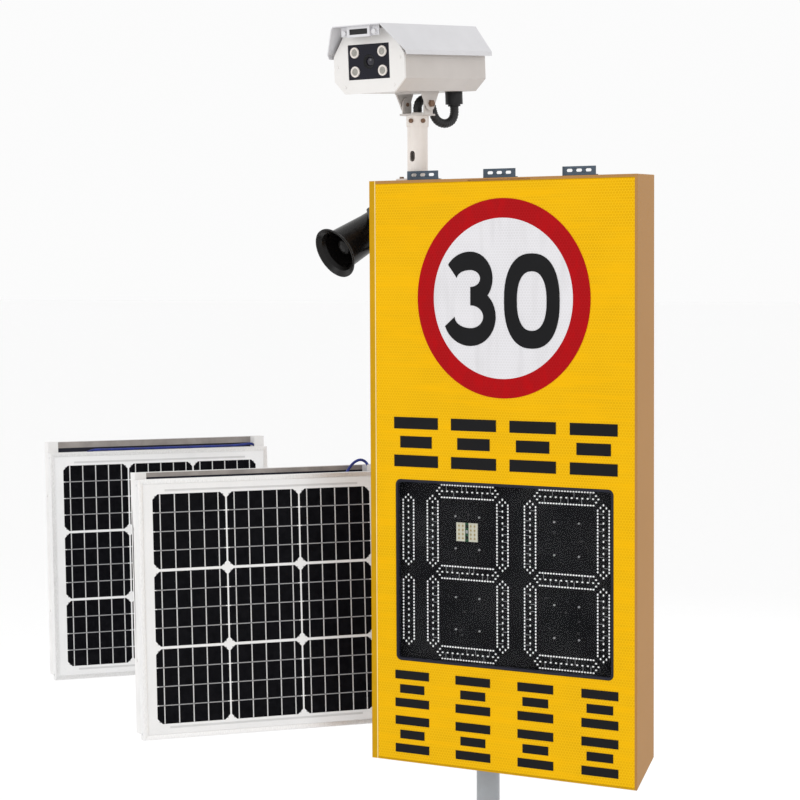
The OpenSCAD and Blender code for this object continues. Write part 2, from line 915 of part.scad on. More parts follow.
module camera_lens() {
    color("darkslategray") camera_frame() translate([0, 0, cam_mid]) {
        difference() {
            rod_y(28, cam_front + 0.5, cam_front + 60);
            rod_y(20, cam_front, cam_front + 4);
        }
        // camera block behind the lens, on its foot
        slab(-35, 35, cam_front + 60, cam_front + 170, -25, 30);
        slab(-30, 30, cam_front + 70, cam_front + 160, cam_floor + cam_shell - cam_mid, -25);
    }
}

module camera_gland() {
    color("black") camera_frame() translate([gland_x, gland_y, 0]) {
        translate([0, 0, -2]) cylinder(d = 36, h = 26);
        translate([0, 0, -6]) cylinder(d = 26, h = 4);
        translate([0, 0, 24]) cylinder(d = 19.6, h = 8);
    }
}

module camera_conduit() {
    color("black") camera_frame() swept_tube(conduit_route, conduit_d, 12);
}

// sunshield over the camera: flat roof, sloping sides and a small lip
module shade_profile(grow) {
    roof = cam_roof + shade_gap + grow;
    eave = cam_roof - 46;
    polygon([
        [-shade_half - grow, eave - 8], [-shade_half - grow, eave + grow / 2], [-60 - grow / 2, roof],
        [60 + grow / 2, roof], [shade_half + grow, eave + grow / 2], [shade_half + grow, eave - 8]
    ]);
}

module sunshield() {
    front = cam_front - shade_reach;
    roof = cam_roof + shade_gap;
    color("gainsboro") camera_frame() {
        difference() {
            upright(front, shade_rear - front) shade_profile(2);
            upright(front - 1, shade_rear - front + 2) shade_profile(0);
            // the sides are cut back below the roof's front edge
            along_x(-150, 300) polygon([
                [front - 1, roof - 4], [front, roof - 4], [front + shade_reach, roof - 66],
                [front - 1, roof - 66]
            ]);
            // slots over the two roof blocks
            for (y = [cam_front + shade_block, cam_back - shade_block])
                translate([0, y, roof - 1]) {
                    slab(-3, 3, -15, 15, 0, 5);
                    for (end = [-15, 15])
                        translate([0, end, 0]) cylinder(d = 6, h = 5);
                }
        }
        // stop bracket with its dark slot and two screws below the front edge
        difference() {
            slab(-29, 29, front + 6, front + 14, roof - 22, roof);
            slab(-23, 23, front + 5, front + 15, roof - 17, roof - 6);
        }
        for (side = [-1, 1])
            translate([side * 38, 0, roof - 13]) {
                rod_y(10, front + 6, front + 12);
                slab(-10, 10, front + 12, front + 14, -7, 13);
            }
    }
}

// ---------- horn ----------

// the horn bracket's frame: the foot on the box's left side, the pins along Z
module horn_bracket_frame() {
    translate([horn_x, horn_y, horn_z]) rotate([horn_dip, 0, 0]) children();
}

// the horn's frame: the mouth towards -Y, the origin on the axis behind the mouth
module horn_frame() {
    horn_bracket_frame() rotate([0, 0, -horn_turn]) children();
}

module horn_bracket() {
    ear = 42;
    foot = sign_left - horn_x - 0.05;
    pin = [horn_pivot * sin(horn_turn), horn_pivot * cos(horn_turn)];
    color("dimgray") horn_bracket_frame() {
        slab(foot - 3, foot, -12, 16, -ear, ear);
        for (side = [-1, 1]) {
            // ear from the foot to the pin
            translate([0, 0, side > 0 ? ear - 3 : -ear]) linear_extrude(3) union() {
                polygon([
                    [pin[0] - 8, pin[1] - 11], [foot - 1, -12], [foot - 1, 16],
                    [pin[0] + 10, pin[1] + 9]
                ]);
                translate(pin) circle(13);
            }
            // pin and its head
            translate([pin[0], pin[1], side > 0 ? 34 : -47]) cylinder(d = 6, h = 13);
            translate([pin[0], pin[1], side > 0 ? ear : -ear - 5]) cylinder(d = 11, h = 5);
        }
        // foot bolt
        translate([0, 2, 0]) rod_x(12, foot - 9, foot - 3);
    }
}

module horn_bell() {
    mouth = -horn_mouth_ahead;
    color("black") horn_frame() {
        difference() {
            union() {
                rotate([-90, 0, 0]) rotate_extrude($fn = 96) polygon([
                    [0, 100], [30, 100], [37, 92], [37.5, 60], [43, mouth + 14], [47, mouth + 8],
                    [horn_d / 2, mouth + 2], [horn_d / 2, mouth], [horn_d / 2 - 2.5, mouth],
                    [44, mouth + 7], [40, mouth + 15], [31, 78], [26, 94], [0, 94]
                ]);
                // bosses on the pins
                for (side = [-1, 1])
                    translate([0, horn_pivot, side > 0 ? 33 : -38.5]) cylinder(d = 16, h = 5.5);
            }
            for (side = [-1, 1])
                translate([0, horn_pivot, side > 0 ? 33.5 : -41.5]) cylinder(d = 6.16, h = 8);
        }
        // inner horn with its round nose
        rotate([-90, 0, 0]) rotate_extrude($fn = 64) polygon([
            [0, 94], [13, 94], [14, 20], [17, mouth + 30], [15, mouth + 26], [8, mouth + 23],
            [0, mouth + 22]
        ]);
    }
}

module horn_driver() {
    color("black") horn_frame() {
        rod_y(60, 100, 108);
        rod_y(52, 108, 122);
        for (k = [0 : 5])
            rotate([0, 60 * k, 0]) slab(-2, 2, 108, 120, 25, 29);
    }
}

// ---------- solar panels ----------

// frame of a panel head: the post's axis at the origin, the panel towards -Y
module head_frame(post) {
    translate([post[0], post[1], panel_pin_z]) rotate([0, 0, panel_turn]) children();
}

// frame of a panel: the origin at the middle of its face, the face towards -Y
module panel_frame(post) {
    head_frame(post) translate([0, -post_back, 0]) rotate([-panel_lean, 0, 0])
        translate([0, -pin_back, 0]) children();
}

module panel_rim(post) {
    half = panel_size / 2;
    color("gainsboro") panel_frame(post) difference() {
        slab(-half, half, 0, frame_d, -half, half);
        slab(-half + frame_w, half - frame_w, -1, frame_d + 1, -half + frame_w, half - frame_w);
        // groove that holds the laminate
        slab(-half + 4, half - 4, 1.5, 1.5 + laminate_t + 0.2, -half + 4, half - 4);
    }
}

module panel_laminate(post, box_x) {
    half = panel_size / 2 - 4.2;
    box_w = 50;
    color("darkslategray") panel_frame(post) {
        slab(-half, half, 1.5, 1.5 + laminate_t, -half, half);
        // junction box glued to the back
        slab(box_x - box_w, box_x + box_w, 1.5 + laminate_t, 30, 110, 176);
    }
}

// tray gives the rise of the channels over the frame and the level of the tray's floor,
// which is notched behind the junction box at box_x
module panel_carrier(post, tray, box_x) {
    half = panel_size / 2;
    foot = frame_d + 0.2;
    back = frame_d + channel_d;
    top = half + tray[0];
    shelf = half + tray[1];
    color("whitesmoke") panel_frame(post) {
        // two upright channels, open towards the middle
        for (side = [-1, 1])
            difference() {
                translate([side * (half - channel_w / 2), 0, 0])
                    slab(-channel_w / 2, channel_w / 2, foot, back, -half + 10, top);
                translate([side * (half - channel_w / 2 - 3), 0, 0])
                    slab(-channel_w / 2, channel_w / 2, foot + 2, back - 2, -half + 12, top + 1);
                for (z = [168, -109])
                    translate([0, foot + 17, z]) rod_x(7, side * half - 3, side * half + 3);
            }
        // tray along the top
        slab(-half + channel_w, half - channel_w, back - 3, back, half - 34, top);
        difference() {
            slab(-half + channel_w, half - channel_w, foot + 3, back - 3, shelf, shelf + 2);
            slab(box_x - 12, box_x + 34, foot, foot + 15, shelf - 1, shelf + 3);
        }
        // block in the right channel that takes the end of the lead
        slab(half - channel_w + 2, half - 2, foot + 1, back - 1, 214, 229.9);
        // middle and lower cross rails
        slab(-half + channel_w, half - channel_w, back - 15, back, -20, 20);
        slab(-half + channel_w, half - channel_w, back - 15, back, -half + 10, -half + 50);
        // lugs on the tilt pin
        difference() {
            for (side = [-1, 1])
                translate([side * 26, 0, 0]) {
                    slab(-3, 3, back, pin_back, -14, 14);
                    translate([0, pin_back, 0]) rod_x(28, -3, 3);
                }
            translate([0, pin_back, 0]) rod_x(10.16, -40, 40);
        }
    }
}

module panel_knuckle(post) {
    color("silver") head_frame(post) {
        difference() {
            union() {
                translate([0, 0, -25]) cylinder(d = 52, h = 50);
                slab(-20, 20, -post_back, -20, -9, 9);
                translate([0, -post_back, 0]) rod_x(18, -22.5, 22.5);
                // clamp ears behind the collar
                slab(-10, 10, 20, 44, -20, 20);
            }
            translate([0, 0, -26]) cylinder(d = post_d + 0.16, h = 52);
            slab(-1.5, 1.5, 15, 45, -26, 26);
        }
        translate([0, -post_back, 0]) {
            rod_x(10, -36, 36);
            for (side = [-1, 1])
                rotate([0, 0, 90]) hex_y(16, side > 0 ? -36 : 29.5, side > 0 ? -29.5 : 36);
        }
        translate([0, 35, 0]) {
            rod_x(12, -14, -10);
            rod_x(12, 10, 14);
        }
    }
}

module panel_lead(post, route) {
    color("darkblue") panel_frame(post) swept_tube(route, lead_d, 8);
}

module near_frame() {
    panel_rim(near_post);
}

module near_laminate() {
    panel_laminate(near_post, near_box_x);
}

module near_carrier() {
    panel_carrier(near_post, near_tray, near_box_x);
}

module near_knuckle() {
    panel_knuckle(near_post);
}

module near_lead() {
    panel_lead(near_post, near_lead_route);
}

module far_frame() {
    panel_rim(far_post);
}

module far_laminate() {
    panel_laminate(far_post, far_box_x);
}

module far_carrier() {
    panel_carrier(far_post, far_tray, far_box_x);
}

module far_knuckle() {
    panel_knuckle(far_post);
}

module far_lead() {
    panel_lead(far_post, far_lead_route);
}

// upright post of a panel, with the ring that its knuckle rests on
module panel_post(post) {
    top = panel_pin_z + 25;
    foot = arm_z + arm_h;
    translate([post[0], post[1], 0]) difference() {
        union() {
            translate([0, 0, foot]) cylinder(d = post_d, h = top - foot);
            translate([0, 0, foot]) cylinder(d = 56, h = 6);
            translate([0, 0, panel_pin_z - 33.2]) cylinder(d = 48, h = 8);
        }
        translate([0, 0, foot + 6]) cylinder(d = post_d - 6, h = top - foot);
    }
}

// stub that carries a post at the side of the arm, or the space inside it
module arm_stub(post, inset) {
    s = post * arm_dir;
    end = post * arm_side + arm_w / 2;
    slab(s - arm_w / 2 + inset, s + arm_w / 2 - inset, 0, end + inset / 3,
        arm_z + inset, arm_z + arm_h - inset);
}

// stay between two points given along the arm and in height
module arm_stay(foot, head) {
    run = head - foot;
    translate([foot[0], 0, foot[1]]) rotate([0, atan2(run[0], run[1]), 0])
        cylinder(d = 25, h = norm(run));
}

module outrigger() {
    low = arm_clamp_z[0] - rail_h / 2;
    mid = arm_clamp_z[1] + rail_h / 2;
    upper = arm_clamp_z[2] - rail_h / 2;
    color("silver") {
        difference() {
            union() {
                rotate([0, 0, arm_angle]) {
                    slab(34, arm_len + arm_w / 2, -arm_w / 2, arm_w / 2, arm_z, arm_z + arm_h);
                    arm_stub(near_post, 0);
                    arm_stub(far_post, 0);
                    arm_stay(stay_foot, stay_head);
                }
                for (z = arm_clamp_z)
                    slab(-clamp_half, clamp_half, 1, saddle_t, z - rail_h / 2, z + rail_h / 2);
                // back plates that join the saddles to the arm and to the stay
                slab(-clamp_half, clamp_half, 27, saddle_t, low, mid);
                slab(-clamp_half, clamp_half, 27, saddle_t, upper - 50, upper + 1);
            }
            translate([0, 0, 600]) cylinder(d = pole_d, h = 400);
            for (x = [-1, 1], z = arm_clamp_z)
                translate([x * clamp_bolt_x, 0, z]) rod_y(bolt_d + 1, 0, saddle_t + 1);
            rotate([0, 0, arm_angle]) {
                slab(60, arm_len + arm_w, arm_wall - arm_w / 2, arm_w / 2 - arm_wall,
                    arm_z + arm_wall, arm_z + arm_h - arm_wall);
                arm_stub(near_post, arm_wall);
                arm_stub(far_post, arm_wall);
            }
        }
        panel_post(near_post);
        panel_post(far_post);
    }
}

base_plate();
pole();
pole_cap();
rear_rails();
clamp_straps();
clamp_bolts();
housing();
front_panel();
disc_ring();
disc_field();
disc_numerals();
legend_marks();
window_gasket();
window_pane();
led_board();
segments_hundreds();
segments_tens();
segments_units();
radar_module();
board_screws();
chassis_plate();
control_board();
charge_controller();
battery_pack();
horn_amplifier();
power_switch();
power_rocker();
top_brackets();
cable_glands();
door_gasket();
door_hinges();
rear_door();
cam_lock();
camera_mast();
mast_screws();
camera_yoke();
camera_cradle();
tilt_bolts();
camera_housing();
camera_face_plate();
camera_window();
camera_lamps();
camera_lens();
camera_gland();
camera_conduit();
sunshield();
horn_bracket();
horn_bell();
horn_driver();
outrigger();
near_frame();
near_laminate();
near_carrier();
near_knuckle();
near_lead();
far_frame();
far_laminate();
far_carrier();
far_knuckle();
far_lead();
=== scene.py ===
"""Looks of the solar speed sign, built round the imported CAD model. Metres, row frame."""

import json
import math
import random

import bpy
from mathutils import Matrix, Vector


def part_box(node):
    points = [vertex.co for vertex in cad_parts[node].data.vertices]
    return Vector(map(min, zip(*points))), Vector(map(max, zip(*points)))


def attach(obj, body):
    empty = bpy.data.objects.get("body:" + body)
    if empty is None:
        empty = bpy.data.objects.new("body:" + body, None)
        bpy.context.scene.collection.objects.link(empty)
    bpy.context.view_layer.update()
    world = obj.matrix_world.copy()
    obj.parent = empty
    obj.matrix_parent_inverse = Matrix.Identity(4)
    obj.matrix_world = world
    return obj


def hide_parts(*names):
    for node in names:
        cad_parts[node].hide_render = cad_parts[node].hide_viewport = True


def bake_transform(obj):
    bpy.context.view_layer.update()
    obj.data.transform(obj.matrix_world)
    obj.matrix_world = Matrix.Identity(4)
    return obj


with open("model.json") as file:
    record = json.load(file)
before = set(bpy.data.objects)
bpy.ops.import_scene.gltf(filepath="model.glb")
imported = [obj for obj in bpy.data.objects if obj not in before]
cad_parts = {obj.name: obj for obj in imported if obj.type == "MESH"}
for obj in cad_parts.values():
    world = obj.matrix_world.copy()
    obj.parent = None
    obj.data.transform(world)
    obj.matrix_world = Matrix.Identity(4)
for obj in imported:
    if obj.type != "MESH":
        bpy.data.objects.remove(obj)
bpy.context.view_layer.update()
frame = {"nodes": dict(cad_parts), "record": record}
RECORD = frame["record"]
NODES = frame["nodes"]
JOINTS = {joint["name"]: joint for joint in RECORD["behaviour"]["joints"]}
random.seed(7)

MM = 0.001
# the panels' lean in degrees, and the distance from a panel's face to its tilt pin
PANEL_LEAN = 3.0
PANEL_FACE = 70 * MM


# ---------- node materials ----------


def new_material(name, color, rough=0.5, metal=0.0, **sockets):
    """A Principled material and its node tree, with plain values on the shader's own sockets."""
    mat = bpy.data.materials.new(name)
    mat.use_nodes = True
    shader = mat.node_tree.nodes["Principled BSDF"]
    shader.inputs["Base Color"].default_value = (*color, 1)
    shader.inputs["Roughness"].default_value = rough
    shader.inputs["Metallic"].default_value = metal
    for key, value in sockets.items():
        shader.inputs[key.replace("_", " ")].default_value = value
    return mat


def add(mat, kind, **settings):
    """A new node in a material; settings are its properties or input values."""
    node = mat.node_tree.nodes.new(kind)
    for key, value in settings.items():
        if hasattr(node, key):
            setattr(node, key, value)
        else:
            node.inputs[key.replace("_", " ")].default_value = value
    return node


def link(mat, source, target):
    mat.node_tree.links.new(source, target)


def shader_of(mat):
    return mat.node_tree.nodes["Principled BSDF"]


def coordinates(mat, scale=(1, 1, 1)):
    """Object coordinates in metres, scaled."""
    place = add(mat, "ShaderNodeTexCoord")
    mapping = add(mat, "ShaderNodeMapping")
    mapping.inputs["Scale"].default_value = scale
    link(mat, place.outputs["Object"], mapping.inputs["Vector"])
    return mapping.outputs["Vector"]


def noise(mat, vector, scale, detail=4.0, rough=0.55):
    node = add(mat, "ShaderNodeTexNoise")
    node.inputs["Scale"].default_value = scale
    node.inputs["Detail"].default_value = detail
    node.inputs["Roughness"].default_value = rough
    link(mat, vector, node.inputs["Vector"])
    return node.outputs["Fac"]


def ramp(mat, value, low, high, start=0.0, end=1.0):
    """Colours or greys from low to high over a stretch of a value."""
    node = add(mat, "ShaderNodeValToRGB")
    node.color_ramp.elements[0].position = start
    node.color_ramp.elements[1].position = end
    for element, shade in zip(node.color_ramp.elements, (low, high)):
        element.color = (*shade, 1) if hasattr(shade, "__len__") else (shade, shade, shade, 1)
    link(mat, value, node.inputs["Fac"])
    return node.outputs["Color"]


def mixed(mat, factor, first, second):
    """Mix of two colours; each is a socket or a plain colour."""
    node = add(mat, "ShaderNodeMix", data_type="RGBA")
    ends = [(factor, node.inputs[0]), (first, node.inputs[6]), (second, node.inputs[7])]
    for value, socket in ends:
        if isinstance(value, bpy.types.NodeSocket):
            link(mat, value, socket)
        elif hasattr(value, "__len__"):
            socket.default_value = (*value, 1)
        else:
            socket.default_value = value
    return node.outputs[2]


def bump(mat, height, strength, distance=0.0005, under=None):
    node = add(mat, "ShaderNodeBump")
    node.inputs["Strength"].default_value = strength
    node.inputs["Distance"].default_value = distance
    link(mat, height, node.inputs["Height"])
    if under is not None:
        link(mat, under, node.inputs["Normal"])
    return node.outputs["Normal"]


def worn(name, color, rough, metal=0.0, tint=0.12, grain=900, relief=0.15, blotch=18, **sockets):
    """Painted, moulded or plated surface: slow blotches in colour, a fine grain in gloss and relief."""
    mat = new_material(name, color, rough, metal, **sockets)
    vector = coordinates(mat)
    slow = noise(mat, vector, blotch, 5)
    fine = noise(mat, vector, grain, 3)
    darker = tuple(c * (1 - tint) for c in color)
    lighter = tuple(min(1, c * (1 + tint * 0.6)) for c in color)
    shade = ramp(mat, slow, darker, lighter, 0.3, 0.7)
    link(mat, shade, shader_of(mat).inputs["Base Color"])
    gloss = ramp(mat, fine, max(0.02, rough - 0.08), min(1, rough + 0.08), 0.3, 0.7)
    link(mat, gloss, shader_of(mat).inputs["Roughness"])
    link(mat, bump(mat, fine, relief), shader_of(mat).inputs["Normal"])
    return mat


def galvanised(name, color, rough=0.42):
    """Zinc coating with its crystal spangle."""
    mat = new_material(name, color, rough, 0.85)
    vector = coordinates(mat)
    crystals = add(mat, "ShaderNodeTexVoronoi")
    crystals.inputs["Scale"].default_value = 140
    link(mat, vector, crystals.inputs["Vector"])
    spread = add(mat, "ShaderNodeSeparateColor")
    link(mat, crystals.outputs["Color"], spread.inputs[0])
    low = tuple(c * 0.78 for c in color)
    high = tuple(min(1, c * 1.15) for c in color)
    shade = ramp(mat, spread.outputs[0], low, high)
    streak = noise(mat, coordinates(mat, (1, 1, 0.15)), 30, 4)
    shade = mixed(mat, ramp(mat, streak, 0.0, 0.35, 0.4, 0.8), shade, tuple(c * 0.7 for c in color))
    link(mat, shade, shader_of(mat).inputs["Base Color"])
    gloss = ramp(mat, spread.outputs[1], rough - 0.1, rough + 0.14)
    link(mat, gloss, shader_of(mat).inputs["Roughness"])
    link(mat, bump(mat, noise(mat, vector, 500, 3), 0.12), shader_of(mat).inputs["Normal"])
    return mat


def brushed(name, color, rough=0.35):
    """Drawn or brushed metal with fine lines along Z."""
    mat = new_material(name, color, rough, 0.9)
    lines = noise(mat, coordinates(mat, (1, 1, 0.02)), 2500, 3)
    dark = tuple(c * 0.85 for c in color)
    bright = tuple(min(1, c * 1.1) for c in color)
    shade = ramp(mat, lines, dark, bright, 0.35, 0.65)
    link(mat, shade, shader_of(mat).inputs["Base Color"])
    link(mat, ramp(mat, lines, rough - 0.08, rough + 0.12, 0.3, 0.7), shader_of(mat).inputs["Roughness"])
    link(mat, bump(mat, lines, 0.08), shader_of(mat).inputs["Normal"])
    return mat


def math_node(mat, operation, first, second=None):
    node = add(mat, "ShaderNodeMath", operation=operation)
    for value, socket in ((first, node.inputs[0]), (second, node.inputs[1])):
        if isinstance(value, bpy.types.NodeSocket):
            link(mat, value, socket)
        elif value is not None:
            socket.default_value = value
    return node.outputs[0]


def honeycomb(mat, vector, cell):
    """0 in the middle of a six-sided cell, about 1 at its walls, in the XZ plane. cell is the width."""
    axes = add(mat, "ShaderNodeSeparateXYZ")
    link(mat, vector, axes.inputs[0])
    tall = cell * math.sqrt(3)
    best = None
    for shift in (0.0, 0.5):
        u = math_node(mat, "ADD", math_node(mat, "MULTIPLY", axes.outputs[0], 1 / cell), 500 + shift)
        v = math_node(mat, "ADD", math_node(mat, "MULTIPLY", axes.outputs[2], 1 / tall), 500 + shift)
        du = math_node(mat, "ABSOLUTE", math_node(mat, "SUBTRACT", math_node(mat, "FRACT", u), 0.5))
        dv = math_node(mat, "ABSOLUTE", math_node(mat, "SUBTRACT", math_node(mat, "FRACT", v), 0.5))
        across = math_node(mat, "MULTIPLY", du, 0.5)
        slant = math_node(mat, "ADD", across, math_node(mat, "MULTIPLY", dv, 1.5))
        reach = math_node(mat, "MAXIMUM", du, slant)
        best = reach if best is None else math_node(mat, "MINIMUM", best, reach)
    return math_node(mat, "MULTIPLY", best, 2)


def reflective_film(
    name, color, wall, rough=0.35, cell=0.0062, streak=(0.12, 1, 1), shift=1.15, **sockets
):
    """Road sign sheeting: honeycomb cells, and a painted sheen of slow lighter streaks along one direction
    (darker on the white film).
    """
    mat = new_material(name, color, rough, 0.0, **sockets)
    vector = coordinates(mat)
    cells = honeycomb(mat, vector, cell)
    walls = ramp(mat, cells, 0.0, 1.0, 0.74, 0.92)
    soft = ramp(mat, noise(mat, vector, 9, 3), tuple(c * 0.93 for c in color), color, 0.35, 0.65)
    shade = mixed(mat, walls, soft, wall)
    # painted sheen: slow streaks of a lighter colour (darker where shift is under 1) stand in for light
    # caught by the film
    sheen = noise(mat, coordinates(mat, streak), 55, 2)
    other = tuple(min(1, c * shift) for c in color)
    shade = mixed(mat, ramp(mat, sheen, 0.0, 0.55, 0.45, 0.72), shade, other)
    link(mat, shade, shader_of(mat).inputs["Base Color"])
    link(mat, ramp(mat, cells, rough - 0.05, rough + 0.15, 0.3, 0.95), shader_of(mat).inputs["Roughness"])
    link(mat, bump(mat, cells, 0.12, 0.0002), shader_of(mat).inputs["Normal"])
    return mat


def solar_cell(name):
    """Dark silicon with hair-thin silver fingers under glass."""
    mat = new_material(name, (0.002, 0.002, 0.003), 0.35, 0.0, Specular_IOR_Level=0.03)
    vector = coordinates(mat)
    grain = noise(mat, vector, 60, 4)
    base = ramp(mat, grain, (0.002, 0.002, 0.003), (0.005, 0.005, 0.0065), 0.35, 0.65)
    axes = add(mat, "ShaderNodeSeparateXYZ")
    link(mat, vector, axes.inputs[0])
    wave = math_node(mat, "FRACT", math_node(mat, "MULTIPLY", axes.outputs[2], 520))
    finger = math_node(mat, "LESS_THAN", wave, 0.12)
    shade = mixed(mat, math_node(mat, "MULTIPLY", finger, 0.12), base, (0.05, 0.052, 0.06))
    link(mat, shade, shader_of(mat).inputs["Base Color"])
    return mat


def ribbed(name, color, rough, pitch):
    """Moulded surface with fine ribs across the Y axis."""
    mat = new_material(name, color, rough)
    vector = coordinates(mat)
    axes = add(mat, "ShaderNodeSeparateXYZ")
    link(mat, vector, axes.inputs[0])
    wave = math_node(mat, "SINE", math_node(mat, "MULTIPLY", axes.outputs[1], 2 * math.pi / pitch))
    fine = noise(mat, vector, 700, 3)
    link(mat, ramp(mat, fine, rough - 0.08, rough + 0.1, 0.3, 0.7), shader_of(mat).inputs["Roughness"])
    dark = tuple(c * 0.8 for c in color)
    bright = tuple(c * 1.3 for c in color)
    tone = ramp(mat, noise(mat, vector, 25, 4), dark, bright, 0.3, 0.7)
    link(mat, tone, shader_of(mat).inputs["Base Color"])
    link(mat, bump(mat, wave, 0.3, 0.0006, bump(mat, fine, 0.1)), shader_of(mat).inputs["Normal"])
    return mat


def tinted_pane(name):
    """Thin smoked window with a trace of dust; it shows the lamps behind it."""
    mat = new_material(name, (0.016, 0.016, 0.018), 0.3, 0.0, Alpha=0.16, Specular_IOR_Level=0.04)
    vector = coordinates(mat)
    dust = ramp(mat, noise(mat, vector, 14, 5), (0.010, 0.010, 0.012), (0.05, 0.05, 0.052), 0.35, 0.75)
    link(mat, dust, shader_of(mat).inputs["Base Color"])
    return mat


YELLOW = reflective_film(
    "yellow_sheeting", (0.78, 0.41, 0.0), (0.88, 0.53, 0.01), Specular_IOR_Level=0.05
)
WHITE_FILM = reflective_film(
    "white_sheeting", (0.70, 0.69, 0.71), (0.77, 0.76, 0.79), streak=(1, 1, 0.12), shift=0.86
)
RED_FILM = reflective_film(
    "red_sheeting", (0.37, 0.0, 0.002), (0.42, 0.006, 0.010), streak=(1, 0.4, 0.5), shift=1.25,
    Specular_IOR_Level=0.08,
)
BLACK_FILM = worn("black_film", (0.006, 0.006, 0.007), 0.4, relief=0.06, Specular_IOR_Level=0.12)
TAN = worn("tan_paint", (0.39, 0.18, 0.030), 0.38, tint=0.05, relief=0.08, blotch=3, Coat_Weight=0.15)
RIM = worn("rim_paint", (0.56, 0.30, 0.0), 0.42, tint=0.06, relief=0.08, Specular_IOR_Level=0.1)
# painted highlight: the lit edge of the box's left lip
RIM_HIGHLIGHT = worn("rim_highlight", (0.92, 0.72, 0.30), 0.35, tint=0.04, relief=0.05)
RUST = worn("rusted_screw", (0.20, 0.115, 0.07), 0.6, 0.4, tint=0.4, relief=0.4, blotch=200)
ZINC = galvanised("zinc_coating", (0.62, 0.64, 0.66))
DARK_ZINC = worn("bracket_zinc", (0.055, 0.075, 0.10), 0.34, 0.55, tint=0.35, blotch=30)
STEEL = brushed("bright_steel", (0.62, 0.63, 0.64))
BASE = worn("base_coating", (0.20, 0.21, 0.22), 0.5, 0.3, relief=0.3)
RUBBER = worn("seal_rubber", (0.010, 0.011, 0.022), 0.55, relief=0.2, Specular_IOR_Level=0.25)
BLACK = worn("black_plastic", (0.010, 0.010, 0.011), 0.42, relief=0.2, Specular_IOR_Level=0.3)
GLOSS_BLACK = worn("horn_plastic", (0.005, 0.0042, 0.0038), 0.28, relief=0.1, Specular_IOR_Level=0.22)
BOARD = worn(
    "board_black", (0.006, 0.0065, 0.008), 0.5, tint=0.3, relief=0.05, blotch=6, Specular_IOR_Level=0.1
)
LED = worn("led_resin", (0.90, 0.91, 0.92), 0.3, tint=0.03, relief=0.02, Emission_Color=(1, 1, 1, 1),
           Emission_Strength=0.6)
LED_RIM = worn("led_collar", (0.03, 0.03, 0.033), 0.4, relief=0.1, Specular_IOR_Level=0.2)
SILK = worn("silkscreen", (0.42, 0.43, 0.44), 0.5, tint=0.1, relief=0.05)
# painted glow: the antenna board emits a little light, though it is no lamp
CERAMIC_GLOW = worn("antenna_board_glow", (0.86, 0.85, 0.70), 0.4, tint=0.05, Emission_Color=(0.95, 0.93, 0.75, 1),
               Emission_Strength=0.15)
COPPER = worn("antenna_patch", (0.62, 0.50, 0.22), 0.35, 0.2, tint=0.1)
PANE = tinted_pane("smoked_pane")
WHITE = worn("white_coating", (0.78, 0.72, 0.67), 0.4, tint=0.04, relief=0.1, Coat_Weight=0.2)
CREAM = worn("cream_coating", (0.56, 0.52, 0.49), 0.42, tint=0.04, relief=0.18, Coat_Weight=0.2)
FACE = worn("face_coating", (0.78, 0.76, 0.74), 0.38, tint=0.03, relief=0.12, Coat_Weight=0.2)
SHADE = worn("shade_coating", (0.66, 0.655, 0.675), 0.4, tint=0.04, relief=0.18, Coat_Weight=0.2)
SMOKED = worn("camera_glass", (0.006, 0.006, 0.014), 0.08, tint=0.3, relief=0.0, Specular_IOR_Level=0.25)
LENS = worn("lens_coating", (0.008, 0.006, 0.016), 0.12, relief=0.0, Coat_Weight=0.2)
CHROME = brushed("reflector", (0.36, 0.35, 0.32), 0.2)
EMITTER = worn("lamp_emitter", (0.16, 0.15, 0.10), 0.15, tint=0.2, relief=0.0, Coat_Weight=0.6)
ALU = brushed("frame_aluminium", (0.87, 0.865, 0.86), 0.42)
BACKSHEET = worn(
    "backsheet", (0.86, 0.86, 0.86), 0.3, tint=0.03, relief=0.05, Coat_Weight=0.6, Coat_Roughness=0.08
)
CELL = solar_cell("silicon_cell")
BUSBAR = worn("busbar", (0.66, 0.66, 0.66), 0.45, 0.2, tint=0.06)
GAP = worn("cell_gap", (0.34, 0.34, 0.35), 0.5, tint=0.06)
CARRIER = worn("carrier_coating", (0.82, 0.81, 0.80), 0.45, tint=0.06, relief=0.15)
TRAY = worn("tray_metal", (0.34, 0.31, 0.29), 0.4, 0.3, tint=0.25, relief=0.1, blotch=25)
POLE = worn("pole_zinc", (0.36, 0.38, 0.40), 0.38, 0.5, tint=0.12, relief=0.15, blotch=14)
LEAD = worn("lead_sheath", (0.008, 0.024, 0.22), 0.45, tint=0.4, relief=0.15, blotch=60)
CONDUIT = ribbed("conduit_plastic", (0.008, 0.008, 0.009), 0.5, 0.004)
GREEN = worn("solder_mask", (0.01, 0.12, 0.04), 0.35, relief=0.2)
BLUE = worn("controller_case", (0.03, 0.09, 0.32), 0.35, 0.4)
GREY_CASE = worn("battery_case", (0.07, 0.07, 0.08), 0.5, relief=0.3)
AMP = worn("amplifier_case", (0.25, 0.26, 0.28), 0.35, 0.6)
RED = worn("red_plastic", (0.5, 0.01, 0.01), 0.3)

